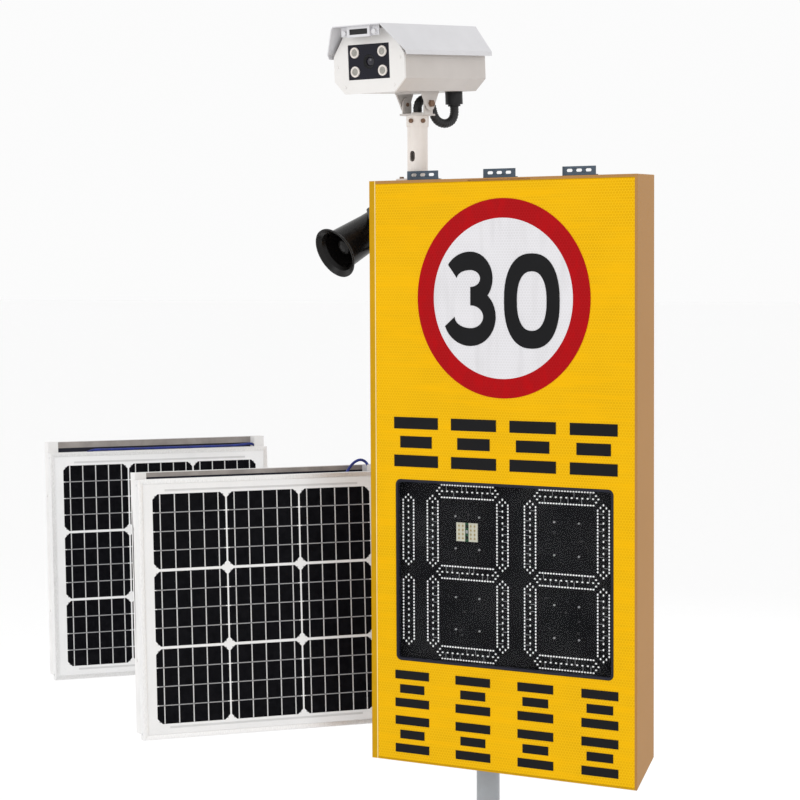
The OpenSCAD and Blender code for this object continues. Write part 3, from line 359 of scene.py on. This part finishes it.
SLOT_LOOKS = {
    "galvanised": ZINC, "base_paint": BASE, "box_paint": TAN, "yellow_film": YELLOW, "red_film": RED_FILM,
    "white_film": WHITE_FILM, "black_film": BLACK_FILM, "seal_rubber": RUBBER, "pane": PANE,
    "board_black": BOARD, "led_white": LED, "ceramic_board": CERAMIC_GLOW, "zinc_screw": STEEL,
    "sheet_steel": STEEL, "circuit_green": GREEN, "controller_blue": BLUE, "battery_case": GREY_CASE,
    "amplifier_case": AMP, "black_plastic": BLACK, "red_plastic": RED, "white_paint": WHITE,
    "camera_paint": CREAM, "shade_paint": SHADE, "camera_glass": SMOKED, "lamp_ring": WHITE,
    "lens": LENS, "horn_black": GLOSS_BLACK, "horn_steel": BLACK, "panel_aluminium": ALU,
    "panel_glass": BACKSHEET, "carrier_white": CARRIER, "lead_blue": LEAD,
}
NODE_LOOKS = {"camera_face_plate": FACE, "camera_mast": WHITE, "top_brackets": DARK_ZINC, "tilt_bolts": RUST,
              "mast_screws": RUST, "pole": POLE}


def dress(obj, mat):
    obj.data.materials.clear()
    obj.data.materials.append(mat)


def soften(obj, width):
    """Rounds a CAD node's sharp edges a little, as folded or moulded edges are."""
    weld = obj.modifiers.new("weld", "WELD")
    weld.merge_threshold = 1e-5
    edge = obj.modifiers.new("edges", "BEVEL")
    edge.width = width
    edge.segments = 2
    edge.limit_method = "ANGLE"
    edge.angle_limit = math.radians(35)
    edge.harden_normals = False


for part in RECORD["subparts"]:
    dress(NODES[part["node"]], NODE_LOOKS.get(part["node"], SLOT_LOOKS[part["material_slot"]]))


# ---------- mesh building ----------


def band(i, j, count):
    """Faces between loop i and loop j of count points each."""
    return [
        (i * count + k, i * count + (k + 1) % count, j * count + (k + 1) % count, j * count + k)
        for k in range(count)
    ]


def capped_bands(rows, count):
    """Faces of a round body made of rows of count points each, with a cap at either end."""
    faces = [face for i in range(rows - 1) for face in band(i, i + 1, count)]
    faces.append(list(range(count - 1, -1, -1)))
    faces.append([(rows - 1) * count + k for k in range(count)])
    return faces


class Build:
    """Collects faces of one piece in a local frame, then makes the object in the row frame."""

    def __init__(self, place=None):
        self.place = place or Matrix.Identity(4)
        self.points = []
        self.faces = []
        self.marks = []
        self.smooth = []

    def put(self, points, faces, mark=0, smooth=False):
        base = len(self.points)
        self.points += [self.place @ Vector(p) for p in points]
        self.faces += [[base + i for i in face] for face in faces]
        self.marks += mark if isinstance(mark, list) else [mark] * len(faces)
        self.smooth += [smooth] * len(faces)

    def box(self, low, high, mark=0):
        (a, b, c), (d, e, f) = low, high
        points = [(a, b, c), (d, b, c), (d, e, c), (a, e, c), (a, b, f), (d, b, f), (d, e, f), (a, e, f)]
        faces = [(3, 2, 1, 0), (4, 5, 6, 7), (0, 1, 5, 4), (1, 2, 6, 5), (2, 3, 7, 6), (3, 0, 4, 7)]
        self.put(points, faces, mark)

    def plate(self, outline, front, back, mark=0):
        """Plate in the local XZ plane from y front to y back; its outline runs counter-clockwise
        as seen from the front."""
        count = len(outline)
        points = [(x, front, z) for x, z in outline] + [(x, back, z) for x, z in outline]
        faces = [list(range(count)), list(range(2 * count - 1, count - 1, -1))]
        faces += [(i, count + i, count + (i + 1) % count, (i + 1) % count) for i in range(count)]
        self.put(points, faces, mark)

    def turned(self, profile, centre, axis, sides=48, mark=0):
        """Surface of revolution. profile is (radius, distance along axis) from one end to the other."""
        axis = Vector(axis).normalized()
        side = axis.orthogonal().normalized()
        other = axis.cross(side)
        points = []
        for radius, along in profile:
            for k in range(sides):
                a = 2 * math.pi * k / sides
                spoke = side * math.cos(a) + other * math.sin(a)
                points.append(Vector(centre) + axis * along + spoke * radius)
        self.put(points, capped_bands(len(profile), sides), mark, True)

    def make(self, name, looks, body, replaced=(), edge=0.0, sharp=40):
        mesh = bpy.data.meshes.new(name)
        mesh.from_pydata([tuple(p) for p in self.points], [], self.faces)
        obj = bpy.data.objects.new(name, mesh)
        bpy.context.scene.collection.objects.link(obj)
        for look in looks:
            mesh.materials.append(look)
        mesh.polygons.foreach_set("material_index", self.marks)
        mesh.polygons.foreach_set("use_smooth", self.smooth)
        mesh.update()
        mesh.validate()
        if any(self.smooth):
            mesh.set_sharp_from_angle(angle=math.radians(sharp))
        if edge:
            bevel = obj.modifiers.new("edges", "BEVEL")
            bevel.width = edge
            bevel.segments = 2
            bevel.limit_method = "ANGLE"
        if body:
            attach(obj, body)
        if replaced:
            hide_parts(*replaced)
        return obj


def basis(origin, x, y, z):
    return Matrix.Translation(origin) @ Matrix((x, y, z)).transposed().to_4x4()


def smooth_route(points, per_span=6):
    """Points of a Catmull-Rom curve through the given points."""
    ends = [points[0] * 2 - points[1], *points, points[-1] * 2 - points[-2]]
    route = []
    for a, b, c, d in zip(ends, ends[1:], ends[2:], ends[3:]):
        for k in range(per_span):
            t = k / per_span
            route.append(0.5 * (2 * b + (c - a) * t + (2 * a - 5 * b + 4 * c - d) * t * t
                                + (3 * b - a - 3 * c + d) * t ** 3))
    route.append(points[-1])
    return route


def tube(build, route, radii, sides=16):
    """Tube along a route with one radius per point, its frame carried along without twist."""
    side = (route[1] - route[0]).orthogonal().normalized()
    points = []
    for i, p in enumerate(route):
        ahead = (route[min(i + 1, len(route) - 1)] - route[max(i - 1, 0)]).normalized()
        side = (side - ahead * side.dot(ahead)).normalized()
        other = ahead.cross(side)
        for k in range(sides):
            a = 2 * math.pi * k / sides
            points.append(p + (side * math.cos(a) + other * math.sin(a)) * radii[i])
    build.put(points, capped_bands(len(route), sides), 0, True)


# ---------- camera, floor and lights ----------


def aim_camera():
    data = bpy.data.cameras.new("view")
    eye = bpy.data.objects.new("view", data)
    bpy.context.scene.collection.objects.link(eye)
    yaw, pitch, roll = (math.radians(v) for v in (32.95, 3.11, -0.28))
    ahead = Vector((-math.sin(yaw) * math.cos(pitch), math.cos(yaw) * math.cos(pitch), -math.sin(pitch)))
    right = Vector((math.cos(yaw), math.sin(yaw), 0))
    up = right.cross(ahead)
    side = right * math.cos(roll) + up * math.sin(roll)
    top = up * math.cos(roll) - right * math.sin(roll)
    eye.matrix_world = basis(Vector((2.5687, -4.2939, 1.5200)), side, top, -ahead)
    data.sensor_width = 36
    data.lens = 109.0
    data.clip_end = 200
    bpy.context.scene.camera = eye


def lay_floor():
    build = Build()
    build.box((-90, -90, -0.02), (90, 90, 0))
    floor = bpy.data.meshes.new("floor")
    floor.from_pydata([tuple(p) for p in build.points], [], build.faces)
    obj = bpy.data.objects.new("floor", floor)
    bpy.context.scene.collection.objects.link(obj)
    mat = worn("floor_paint", (0.99, 0.99, 0.99), 0.8, tint=0.004, relief=0.02, Specular_IOR_Level=0.1)
    floor.materials.append(mat)


def area_light(name, place, target, size, power):
    data = bpy.data.lights.new(name, "AREA")
    data.shape = "RECTANGLE"
    data.size, data.size_y = size
    data.energy = power
    lamp = bpy.data.objects.new(name, data)
    bpy.context.scene.collection.objects.link(lamp)
    lamp.location = place
    lamp.rotation_euler = (Vector(target) - Vector(place)).to_track_quat("-Z", "Y").to_euler()


def light_studio():
    world = bpy.data.worlds.new("studio")
    bpy.context.scene.world = world
    world.use_nodes = True
    world.node_tree.nodes["Background"].inputs[0].default_value = (1, 1, 1, 1)
    world.node_tree.nodes["Background"].inputs[1].default_value = 0.97
    area_light("key", (-2.6, -4.6, 3.6), (-0.2, 0, 1.1), (2.4, 2.4), 42)
    area_light("fill", (4.6, -2.2, 2.4), (0, 0, 1.1), (2.0, 2.6), 12)
    area_light("back", (-0.5, 4.5, 3.4), (0, 0, 1.1), (2.6, 2.0), 22)
    bpy.context.scene.view_settings.view_transform = "Standard"


aim_camera()
lay_floor()
light_studio()


# ---------- sign box ----------

PANEL_LOW, PANEL_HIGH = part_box("front_panel")


DIGIT_PITCH = 166 * MM
LAMP_STEP = 6.4 * MM
LAMP_SIDES = 12


def lamp_spots(node):
    """Places of a digit's lamps from its middle: (x, z, whether the lamp lies along X)."""
    half = DIGIT_PITCH / 2
    column = 2 * LAMP_STEP
    bar = [(s * column, (k - 9.5) * LAMP_STEP) for s in (-1, 1) for k in range(20)]
    bar += [(0, k * 12.0 * MM) for k in range(-6, 7)]
    bar += [(s * 6.5 * MM, e * 66.5 * MM) for s in (-1, 1) for e in (-1, 1)]
    if node == "segments_hundreds":
        upright, level = [(0, half), (0, -half)], []
    else:
        upright = [(s * half, e * half) for s in (-1, 1) for e in (-1, 1)]
        level = [-DIGIT_PITCH, 0, DIGIT_PITCH]
    spots = [(cx + a, cz + b, False) for cx, cz in upright for a, b in bar]
    return spots + [(b, cz + a, True) for cz in level for a, b in bar]


def put_lamp(build, x, y, z, flat):
    """One oval lamp: a dark collar and a stepped clear dome."""
    wide, tall = (2.9 * MM, 2.1 * MM) if flat else (2.1 * MM, 2.9 * MM)
    turns = [2 * math.pi * k / LAMP_SIDES for k in range(LAMP_SIDES)]
    layers = [(1.0, 0), (1.0, 0.0012), (0.78, 0.0016), (0.74, 0.0024), (0.35, 0.0030)]
    points = [
        (x + math.cos(a) * wide * s, y - rise, z + math.sin(a) * tall * s)
        for s, rise in layers for a in turns
    ]
    faces, marks = [], []
    for i in range(len(layers) - 1):
        faces += band(i, i + 1, LAMP_SIDES)
        marks += [1 if i < 2 else 0] * LAMP_SIDES
    top = (len(layers) - 1) * LAMP_SIDES
    build.put(points, faces + [[top + k for k in range(LAMP_SIDES)]], marks + [0], True)


def digit_bars():
    """Rows of single lamps in place of each bar's plate."""
    for node in ("segments_hundreds", "segments_tens", "segments_units"):
        low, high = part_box(node)
        x, z = (low[0] + high[0]) / 2, (low[2] + high[2]) / 2
        build = Build()
        for dx, dz, flat in lamp_spots(node):
            put_lamp(build, x + dx, high[1], z + dz, flat)
        build.make(node + "_lamps", [LED, LED_RIM], "stand", [node])


def board_face():
    """LED board with small parts between the bars and traces that link the lamps."""
    low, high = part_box("led_board")
    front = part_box("segments_tens")[1][1]
    build = Build()
    build.box((low[0], front, low[2]), (high[0], high[1], high[2]))

    def raised(x, z, half_w, half_h, rise, mark):
        build.box((x - half_w, front - rise, z - half_h), (x + half_w, front, z + half_h), mark)

    half = DIGIT_PITCH / 2
    gap, jog, spread = 17 * MM, 4 * MM, 50 * MM
    long, short, chip = 6.4 * MM, 0.5 * MM, 0.9 * MM
    part_sizes = [(1.6 * MM, 0.9 * MM), (0.9 * MM, 1.6 * MM), (3 * MM, 2.2 * MM)]
    for node in ("segments_tens", "segments_units"):
        a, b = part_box(node)
        x, z = (a[0] + b[0]) / 2, (a[2] + b[2]) / 2
        for side in (-1, 1):
            for k in range(10):
                dx = random.uniform(-spread, spread)
                dz = side * half + random.uniform(-spread, spread)
                w, h = random.choice(part_sizes)
                raised(x + dx, z + dz, w, h, chip, 1)
        for side in (-1, 1):
            for sx in (-1, 1):
                for k in range(7):
                    dz = side * half + (k - 3) * gap + random.uniform(-jog, jog)
                    dx = sx * half + random.choice((-long, long))
                    raised(x + dx, z + dz, long, short, 0.4 * MM, 3)
        for level in (-1, 0, 1):
            for k in range(7):
                dx = (k - 3) * gap + random.uniform(-jog, jog)
                dz = level * DIGIT_PITCH + random.choice((-long, long))
                raised(x + dx, z + dz, short, long, 0.4 * MM, 3)
    # spacers to the front panel in the board's corners
    inset, radius = 8 * MM, 4 * MM
    spacer = [(radius, 0), (radius, front - PANEL_HIGH[1])]
    for x in (low[0] + inset, high[0] - inset):
        for z in (low[2] + inset, high[2] - inset):
            build.turned(spacer, (x, PANEL_HIGH[1], z), (0, 1, 0), 24, 2)
    build.make("led_board_face", [BOARD, LED_RIM, STEEL, SILK], "stand", ["led_board"])


def radar_board():
    """Small antenna board: two pale fields of square patches beside a green strip with parts."""
    low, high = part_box("radar_module")
    x, z = (low[0] + high[0]) / 2, (low[2] + high[2]) / 2
    w, h = (high[0] - low[0]) / 2, (high[2] - low[2]) / 2
    y = low[1] + 0.4 * MM
    back = y + 2 * MM
    strip = 4.2 * MM
    build = Build()
    build.box((x - w, y, z - h), (x - strip, back, z + h))
    build.box((x + strip, y, z - h), (x + w, back, z + h))
    build.box((x - strip, y + 0.3 * MM, z - h), (x + strip, back, z + h), 3)
    post = [(2.5 * MM, 0), (2.5 * MM, high[1] - back)]
    for sx in (-1, 1):
        for sz in (-1, 1):
            build.turned(post, (x + sx * 20 * MM, back, z + sz * 14 * MM), (0, 1, 0), 20, 2)
    patch, feed = 2 * MM, 0.3 * MM
    for side in (-1, 1):
        for i in range(2):
            for k in range(4):
                px, pz = x + side * (9.5 + i * 9) * MM, z + (k - 1.5) * 8.5 * MM
                build.box((px - patch, y - feed, pz - patch), (px + patch, y, pz + patch), 1)
                build.box((px - feed, y - 0.2 * MM, pz + patch), (px + feed, y, pz + 6.5 * MM), 1)
    chip_w, chip_h, rise = 2.6 * MM, 3 * MM, 0.6 * MM
    for dz, mark in ((-11 * MM, 4), (1 * MM, 2), (12 * MM, 4)):
        build.box((x - chip_w, y - rise, z + dz - chip_h), (x + chip_w, y + feed, z + dz + chip_h), mark)
    looks = [CERAMIC_GLOW, COPPER, STEEL, GREEN, BLACK]
    build.make("radar_face", looks, "stand", ["radar_module"], edge=0.0003)


def round_outline(x, z, w, h, r, steps=8):
    """Rectangle with round corners, counter-clockwise as seen from the front."""
    right, left, top, bottom = x + w - r, x - w + r, z + h - r, z - h + r
    corners = [(right, top, 0), (left, top, 90), (left, bottom, 180), (right, bottom, 270)]
    points = []
    for cx, cz, start in corners:
        for k in range(steps + 1):
            a = math.radians(start + 90 * k / steps)
            points.append((cx + r * math.cos(a), cz + r * math.sin(a)))
    return points


def window_seal():
    """Rubber seal round the window: a crowned lip outside and a tucked lip inside."""
    low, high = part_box("window_gasket")
    x, z = (low[0] + high[0]) / 2, (low[2] + high[2]) / 2
    w, h = (high[0] - low[0]) / 2, (high[2] - low[2]) / 2
    front, back = low[1], high[1]
    section = [
        (0.0, back), (0.0, front + 0.0012), (0.0008, front + 0.0003), (0.0022, front),
        (0.0040, front + 0.0002), (0.0053, front + 0.0010), (0.0059, front + 0.0028), (0.0059, back),
    ]
    corner = 11.7 * MM
    loops = [
        [(px, y, pz) for px, pz in round_outline(x, z, w - inset, h - inset, corner - inset)]
        for inset, y in section
    ]
    faces = []
    for i in range(len(loops)):
        faces += band(i, (i + 1) % len(loops), len(loops[0]))
    build = Build()
    build.put([p for loop in loops for p in loop], faces, 0, True)
    build.make("window_seal", [RUBBER], "stand", ["window_gasket"], sharp=60)


def box_trim():
    """Folded rim of the box as separate painted strips laid on its front lips; a thin pale strip along the
    inner edge of the left lip is a painted highlight.
    """
    low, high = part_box("housing")
    strips = Build()
    skin, lit, fold = 0.3 * MM, 2 * MM, 4.5 * MM
    y = low[1]
    left, right = PANEL_LOW[0] - skin, PANEL_HIGH[0] + skin
    bottom, top = PANEL_LOW[2] - skin, PANEL_HIGH[2] + skin
    outer_left, outer_right = low[0] + skin, high[0] - skin
    outer_bottom, outer_top = low[2] + skin, high[2] - skin

    def strip(x0, x1, z0, z1, mark):
        strips.box((x0, y - skin, z0), (x1, y, z1), mark)

    strip(outer_left, left - lit, outer_bottom, outer_top, 0)
    # thin pale strip: painted highlight on the edge of the left lip
    strip(left - 1.9 * MM, left, outer_bottom, outer_top, 2)
    strip(right, outer_right, outer_bottom, outer_top, 1)
    strip(left, right, top, top + 1.2 * MM, 0)
    strip(left, right, top + fold, outer_top, 1)
    strip(left, right, outer_bottom, bottom, 0)
    strips.make("box_rim", [RIM, TAN, RIM_HIGHLIGHT], "stand", [])


digit_bars()
board_face()
radar_board()
window_seal()
box_trim()


# ---------- solar panels ----------


def panel_place(side):
    """Matrix of a panel's own frame: origin in the middle of its face, the face towards -Y."""
    tilt = JOINTS[side + "_panel_tilt"]
    x = -Vector(tilt["axis"]).normalized()
    y = Vector((0, 0, 1)).cross(x)
    stand = basis(Vector(tilt["pos_m"]), x, y, Vector((0, 0, 1)))
    lean = Matrix.Rotation(math.radians(-PANEL_LEAN), 4, "X")
    return stand @ lean @ Matrix.Translation((0, -PANEL_FACE, 0))


PANEL_HALF = 272.5 * MM
CELL_PITCH = 162.5 * MM
CELL_HALF = 79.4 * MM
CELL_CORNER = 11 * MM
GLASS_FRONT = 1.5 * MM
BOX_X = {"near": 0.0, "far": -185 * MM}


def strip_outline(x, z, k):
    """Outline of strip k of four in the cell at x, z; the outer strips have cut corners."""
    gap = 1 * MM
    height = CELL_HALF / 2
    x0, x1 = x - CELL_HALF, x + CELL_HALF
    z0, z1 = z - CELL_HALF + k * height + gap, z - CELL_HALF + (k + 1) * height - gap
    low = CELL_CORNER if k == 0 else 0
    high = CELL_CORNER if k == 3 else 0
    outline = [(x0 + low, z0), (x1 - low, z0)]
    if low:
        outline.append((x1, z0 + low))
    outline += [(x1, z1 - high)]
    if high:
        outline += [(x1 - high, z1), (x0 + high, z1)]
    outline += [(x0, z1 - high)]
    if low:
        outline.append((x0, z0 + low))
    return outline


def solar_laminate(side):
    """Glass laminate: white backsheet, three by three groups of cut cells with busbars."""
    build = Build(panel_place(side))
    half, front = 268.3 * MM, GLASS_FRONT
    back = front + 5 * MM
    build.box((-half, front, -half), (half, back, half), 0)
    bar, inset, margin = 1.1 * MM, 0.6 * MM, 4 * MM
    for row in (-1, 0, 1):
        for col in (-1, 0, 1):
            cx, cz = col * CELL_PITCH, row * CELL_PITCH
            for k in range(4):
                outline = strip_outline(cx, cz, k)
                build.plate(outline, front - 0.15 * MM, front, 1)
                heights = [z for _, z in outline]
                z0, z1 = min(heights) + inset, max(heights) - inset
                for b in range(5):
                    bx = cx + (b - 2) * CELL_HALF * 0.4
                    build.box((bx - bar, front - 0.3 * MM, z0), (bx + bar, front - 0.15 * MM, z1), 2)
            reach = CELL_HALF - margin
            build.box((cx - reach, front - 0.1 * MM, cz - reach), (cx + reach, front, cz + reach), 4)
    # cross-connection ribbons at the top and bottom of the field
    ribbon_z, ribbon_half, ribbon_w = 248.5 * MM, 215 * MM, 2.2 * MM
    for z in (-ribbon_z, ribbon_z):
        build.box((-ribbon_half, front - 0.2 * MM, z - ribbon_w), (ribbon_half, front, z + ribbon_w), 2)
    # junction box on the back, and its lid
    x = BOX_X[side]
    build.box((x - 50 * MM, back, 110 * MM), (x + 50 * MM, 29.4 * MM, 176 * MM), 3)
    build.box((x - 44 * MM, 29 * MM, 116 * MM), (x + 44 * MM, 30 * MM, 170 * MM), 3)
    looks = [BACKSHEET, CELL, BUSBAR, BLACK, GAP]
    build.make(side + "_solar_face", looks, side + "_panel", [side + "_laminate"])


def panel_rim(side):
    """Aluminium frame of four mitred rails with a lip over the glass and a flange behind."""
    build = Build(panel_place(side))
    section = [
        (0.0, 0.4), (0.4, 0.0), (9.2, 0.0), (9.8, 0.5), (9.8, 1.4), (4.2, 1.4),
        (4.2, 6.8), (3.0, 6.8), (3.0, 23.5), (9.8, 23.5), (9.8, 25.0), (0.0, 25.0),
    ]
    gap = 0.12 * MM
    for turn in range(4):
        spin = Matrix.Rotation(turn * math.pi / 2, 4, "Y")
        points = []
        for end in (-1, 1):
            for inset, y in section:
                edge = PANEL_HALF - inset * MM
                points.append(spin @ Vector((end * (edge - gap), y * MM, -edge)))
        build.put(points, capped_bands(2, len(section)))
    # screws of the corner keys
    head = [(2.8 * MM, 0), (2.8 * MM, 0.5 * MM), (1.8 * MM, 0.8 * MM)]
    for sx in (-1, 1):
        for sz in (-1, 1):
            place = (sx * (PANEL_HALF - 0.4 * MM), 14 * MM, sz * (PANEL_HALF - 12 * MM))
            build.turned(head, place, (sx, 0, 0), 16, 1)
    build.make(side + "_rim", [ALU, STEEL], side + "_panel", [side + "_frame"])


# the leads' routes as in the CAD, in millimetres in the panel's frame
LEAD_ROUTES = {
    "near": [
        (0, 22, 176), (0, 22, 190), (0, 25, 205), (2, 30, 220), (6, 30, 235), (15, 33, 246),
        (29, 39, 249), (46, 42, 247), (66, 42, 245), (92, 42, 244.5), (130, 42, 244.5),
        (165, 42, 244.5), (185, 42, 250), (200, 42, 263), (212, 42, 280), (224, 42, 292),
        (238, 42, 297), (250, 42, 292), (257, 42, 280), (259, 42, 266), (259, 42, 250),
        (259, 42, 230),
    ],
    "far": [
        (-185, 22, 176), (-185, 22, 200), (-185, 24, 222), (-184, 28.5, 243), (-182, 31, 257),
        (-176, 32.5, 268), (-165, 33, 274.5), (-150, 33, 276.3), (-120, 33, 276), (-80, 33, 276),
        (-40, 33, 276), (0, 33, 276), (40, 33, 276), (80, 33, 276), (120, 33, 276),
        (160, 33, 276), (200, 33.5, 276.5), (225, 35, 278.5), (241, 38, 279.5),
        (251, 40.5, 276), (257, 42, 268), (259, 42, 258), (259, 42, 244), (259, 42, 230),
    ],
}
LEAD_RADIUS = 3 * MM


def panel_lead(side):
    """Solar lead from the junction box along the tray and down into the right channel."""
    build = Build(panel_place(side))
    route = smooth_route([Vector(p) * MM for p in LEAD_ROUTES[side]], 4)
    tube(build, route, [LEAD_RADIUS] * len(route), 16)
    obj = build.make(side + "_lead_sheath", [LEAD], side + "_panel", [side + "_lead"])


def tray_lining(side):
    """Bare metal of the tray's back wall above a dark strip of painted shadow, the shade behind the lead at
    the tray's foot.
    """
    build = Build(panel_place(side))
    shadow_top, wall_top = (3 * MM, 12.5 * MM) if side == "near" else (10 * MM, 24.5 * MM)
    half, wall = 247.2 * MM, 56.9 * MM
    foot, middle, top = PANEL_HALF - 10 * MM, PANEL_HALF + shadow_top, PANEL_HALF + wall_top
    # dark strip in the seal rubber's colour: painted shadow behind the lead at the tray's foot
    build.box((-half, wall - 0.5 * MM, foot), (half, wall, middle), 1)
    build.box((-half, wall - 0.3 * MM, middle), (half, wall, top), 0)
    build.make(side + "_tray_lining", [TRAY, RUBBER], side + "_panel", [])


for panel_side in ("near", "far"):
    panel_lead(panel_side)
    tray_lining(panel_side)
    solar_laminate(panel_side)
    panel_rim(panel_side)


# ---------- camera ----------

SHADE_AXIS = Vector(JOINTS["sunshield_slide"]["axis"]).normalized()
CAM_X = Vector(JOINTS["camera_tilt"]["axis"]).normalized()
CAM_Y = -SHADE_AXIS
CAM = basis(Vector(JOINTS["camera_tilt"]["pos_m"]), CAM_X, CAM_Y, CAM_X.cross(CAM_Y))
CAM_FRONT = -155 * MM
CAM_MID = 85 * MM
LAMP_X = 35 * MM
LAMP_Z = 19 * MM


def lamp_cluster():
    """Four lamps: white threaded ring, bright reflector bowl and a domed emitter."""
    build = Build(CAM)
    ring = [
        (0.0090, 0.012), (0.0090, 0.001), (0.0108, 0.001), (0.0110, -0.0012), (0.0104, -0.0020),
        (0.0080, -0.0020), (0.0072, -0.0012), (0.0072, 0.0), (0.0070, 0.011),
    ]
    bowl = [
        (0.0072, -0.0008), (0.0066, 0.0008), (0.0056, 0.0026), (0.0044, 0.0040), (0.0042, 0.0050),
        (0.0072, 0.0050),
    ]
    dome = [
        (0.0042, 0.0045), (0.0041, 0.0016), (0.0034, 0.0004), (0.0020, -0.0003), (0.0005, -0.0006),
    ]
    for sx in (-1, 1):
        for sz in (-1, 1):
            centre = (sx * LAMP_X, CAM_FRONT, CAM_MID + sz * LAMP_Z)
            build.turned(ring, centre, (0, 1, 0), 40, 0)
            build.turned(bowl, centre, (0, 1, 0), 40, 1)
            build.turned(dome, centre, (0, 1, 0), 28, 2)
    build.make("lamp_rings", [WHITE, CHROME, EMITTER], "camera", ["camera_lamps"], sharp=50)


def lens_barrel():
    """Lens with stepped rings and a coated front glass, on the camera block."""
    build = Build(CAM)
    centre = (0, CAM_FRONT, CAM_MID)
    barrel = [
        (0.0140, 0.060), (0.0140, 0.0012), (0.0136, 0.0006), (0.0128, 0.0006), (0.0124, 0.0020),
        (0.0114, 0.0024), (0.0110, 0.0036), (0.0098, 0.0040), (0.0094, 0.0055),
    ]
    glass = [(0.0096, 0.0056), (0.0080, 0.0044), (0.0060, 0.0034), (0.0036, 0.0028), (0.0008, 0.0025)]
    build.turned(barrel, centre, (0, 1, 0), 56, 0)
    build.turned(glass, centre, (0, 1, 0), 48, 1)
    # camera block, and the foot it stands on
    block_low = CAM_MID - 25 * MM
    build.box(
        (-35 * MM, CAM_FRONT + 60 * MM, block_low), (35 * MM, CAM_FRONT + 170 * MM, CAM_MID + 30 * MM), 0)
    build.box((-30 * MM, CAM_FRONT + 70 * MM, 26.5 * MM), (30 * MM, CAM_FRONT + 160 * MM, block_low), 0)
    build.make("lens_barrel", [BLACK, LENS], "camera", ["camera_lens"], sharp=50)


# the hose's route as in the CAD, in millimetres in the camera's frame
CONDUIT_ROUTE = [
    (30, 86, -6), (30, 86, -11), (30, 86, -16), (29.5, 84, -25.5), (28, 79, -34), (26, 70.5, -39),
    (23, 61, -41), (19.5, 51.5, -39), (16.5, 43.5, -34), (14, 38, -25.5), (12, 36, -16), (10, 36, -8),
    (8.5, 33.5, 1), (6.5, 27, 7.5), (4.5, 18, 10), (2.5, 9, 7.5), (1, 2.5, 1), (0, 0, -8), (0, 0, -12),
    (0, 0, -16.4),
]
HOSE_RADIUS = 8.9 * MM
RIB_HEIGHT = 0.4 * MM
RIB_PITCH = 5 * MM


def camera_hose():
    """Black corrugated hose from the camera's gland to the yoke."""
    build = Build(CAM)
    route = smooth_route([Vector(p) * MM for p in CONDUIT_ROUTE], 10)
    radii, gone = [], 0.0
    for i, p in enumerate(route):
        gone += (p - route[i - 1]).length if i else 0.0
        radii.append(HOSE_RADIUS + RIB_HEIGHT * math.sin(2 * math.pi * gone / RIB_PITCH))
    tube(build, route, radii, 20)
    obj = build.make("camera_hose", [CONDUIT], None, ["camera_conduit"], sharp=80)
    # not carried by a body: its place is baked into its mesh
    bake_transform(obj)


def hood_slot_shade():
    """Dark plate in the slot of the hood's stop bracket: painted shade where the open slot looks into the
    hood.
    """
    build = Build(CAM)
    build.box((-22.9 * MM, -183 * MM, 138.1 * MM), (22.9 * MM, -179 * MM, 148.9 * MM))
    build.make("hood_slot_shade", [BLACK], "shade", [])


lamp_cluster()
lens_barrel()
camera_hose()
hood_slot_shade()


# ---------- edges of the carried-over nodes ----------

EDGES = {
    "housing": 0.0008, "camera_housing": 0.004, "camera_face_plate": 0.0015, "sunshield": 0.0007,
    "camera_yoke": 0.0006, "camera_cradle": 0.0006, "top_brackets": 0.0004,
    "rear_door": 0.001, "rear_rails": 0.0008, "clamp_straps": 0.001, "clamp_bolts": 0.0006,
    "base_plate": 0.0015, "outrigger": 0.0008, "near_carrier": 0.0006, "far_carrier": 0.0006,
    "near_knuckle": 0.001, "far_knuckle": 0.001, "horn_bracket": 0.0005, "horn_driver": 0.0008,
    "cable_glands": 0.0006, "cam_lock": 0.0006, "pole_cap": 0.001, "battery_pack": 0.001,
    "charge_controller": 0.0008, "control_board": 0.0003, "horn_amplifier": 0.0008, "camera_gland": 0.0008,
    "tilt_bolts": 0.0005, "mast_screws": 0.0005, "board_screws": 0.0004,
}
for node_name, edge_width in EDGES.items():
    if NODES[node_name].name in bpy.data.objects:
        soften(NODES[node_name], edge_width)
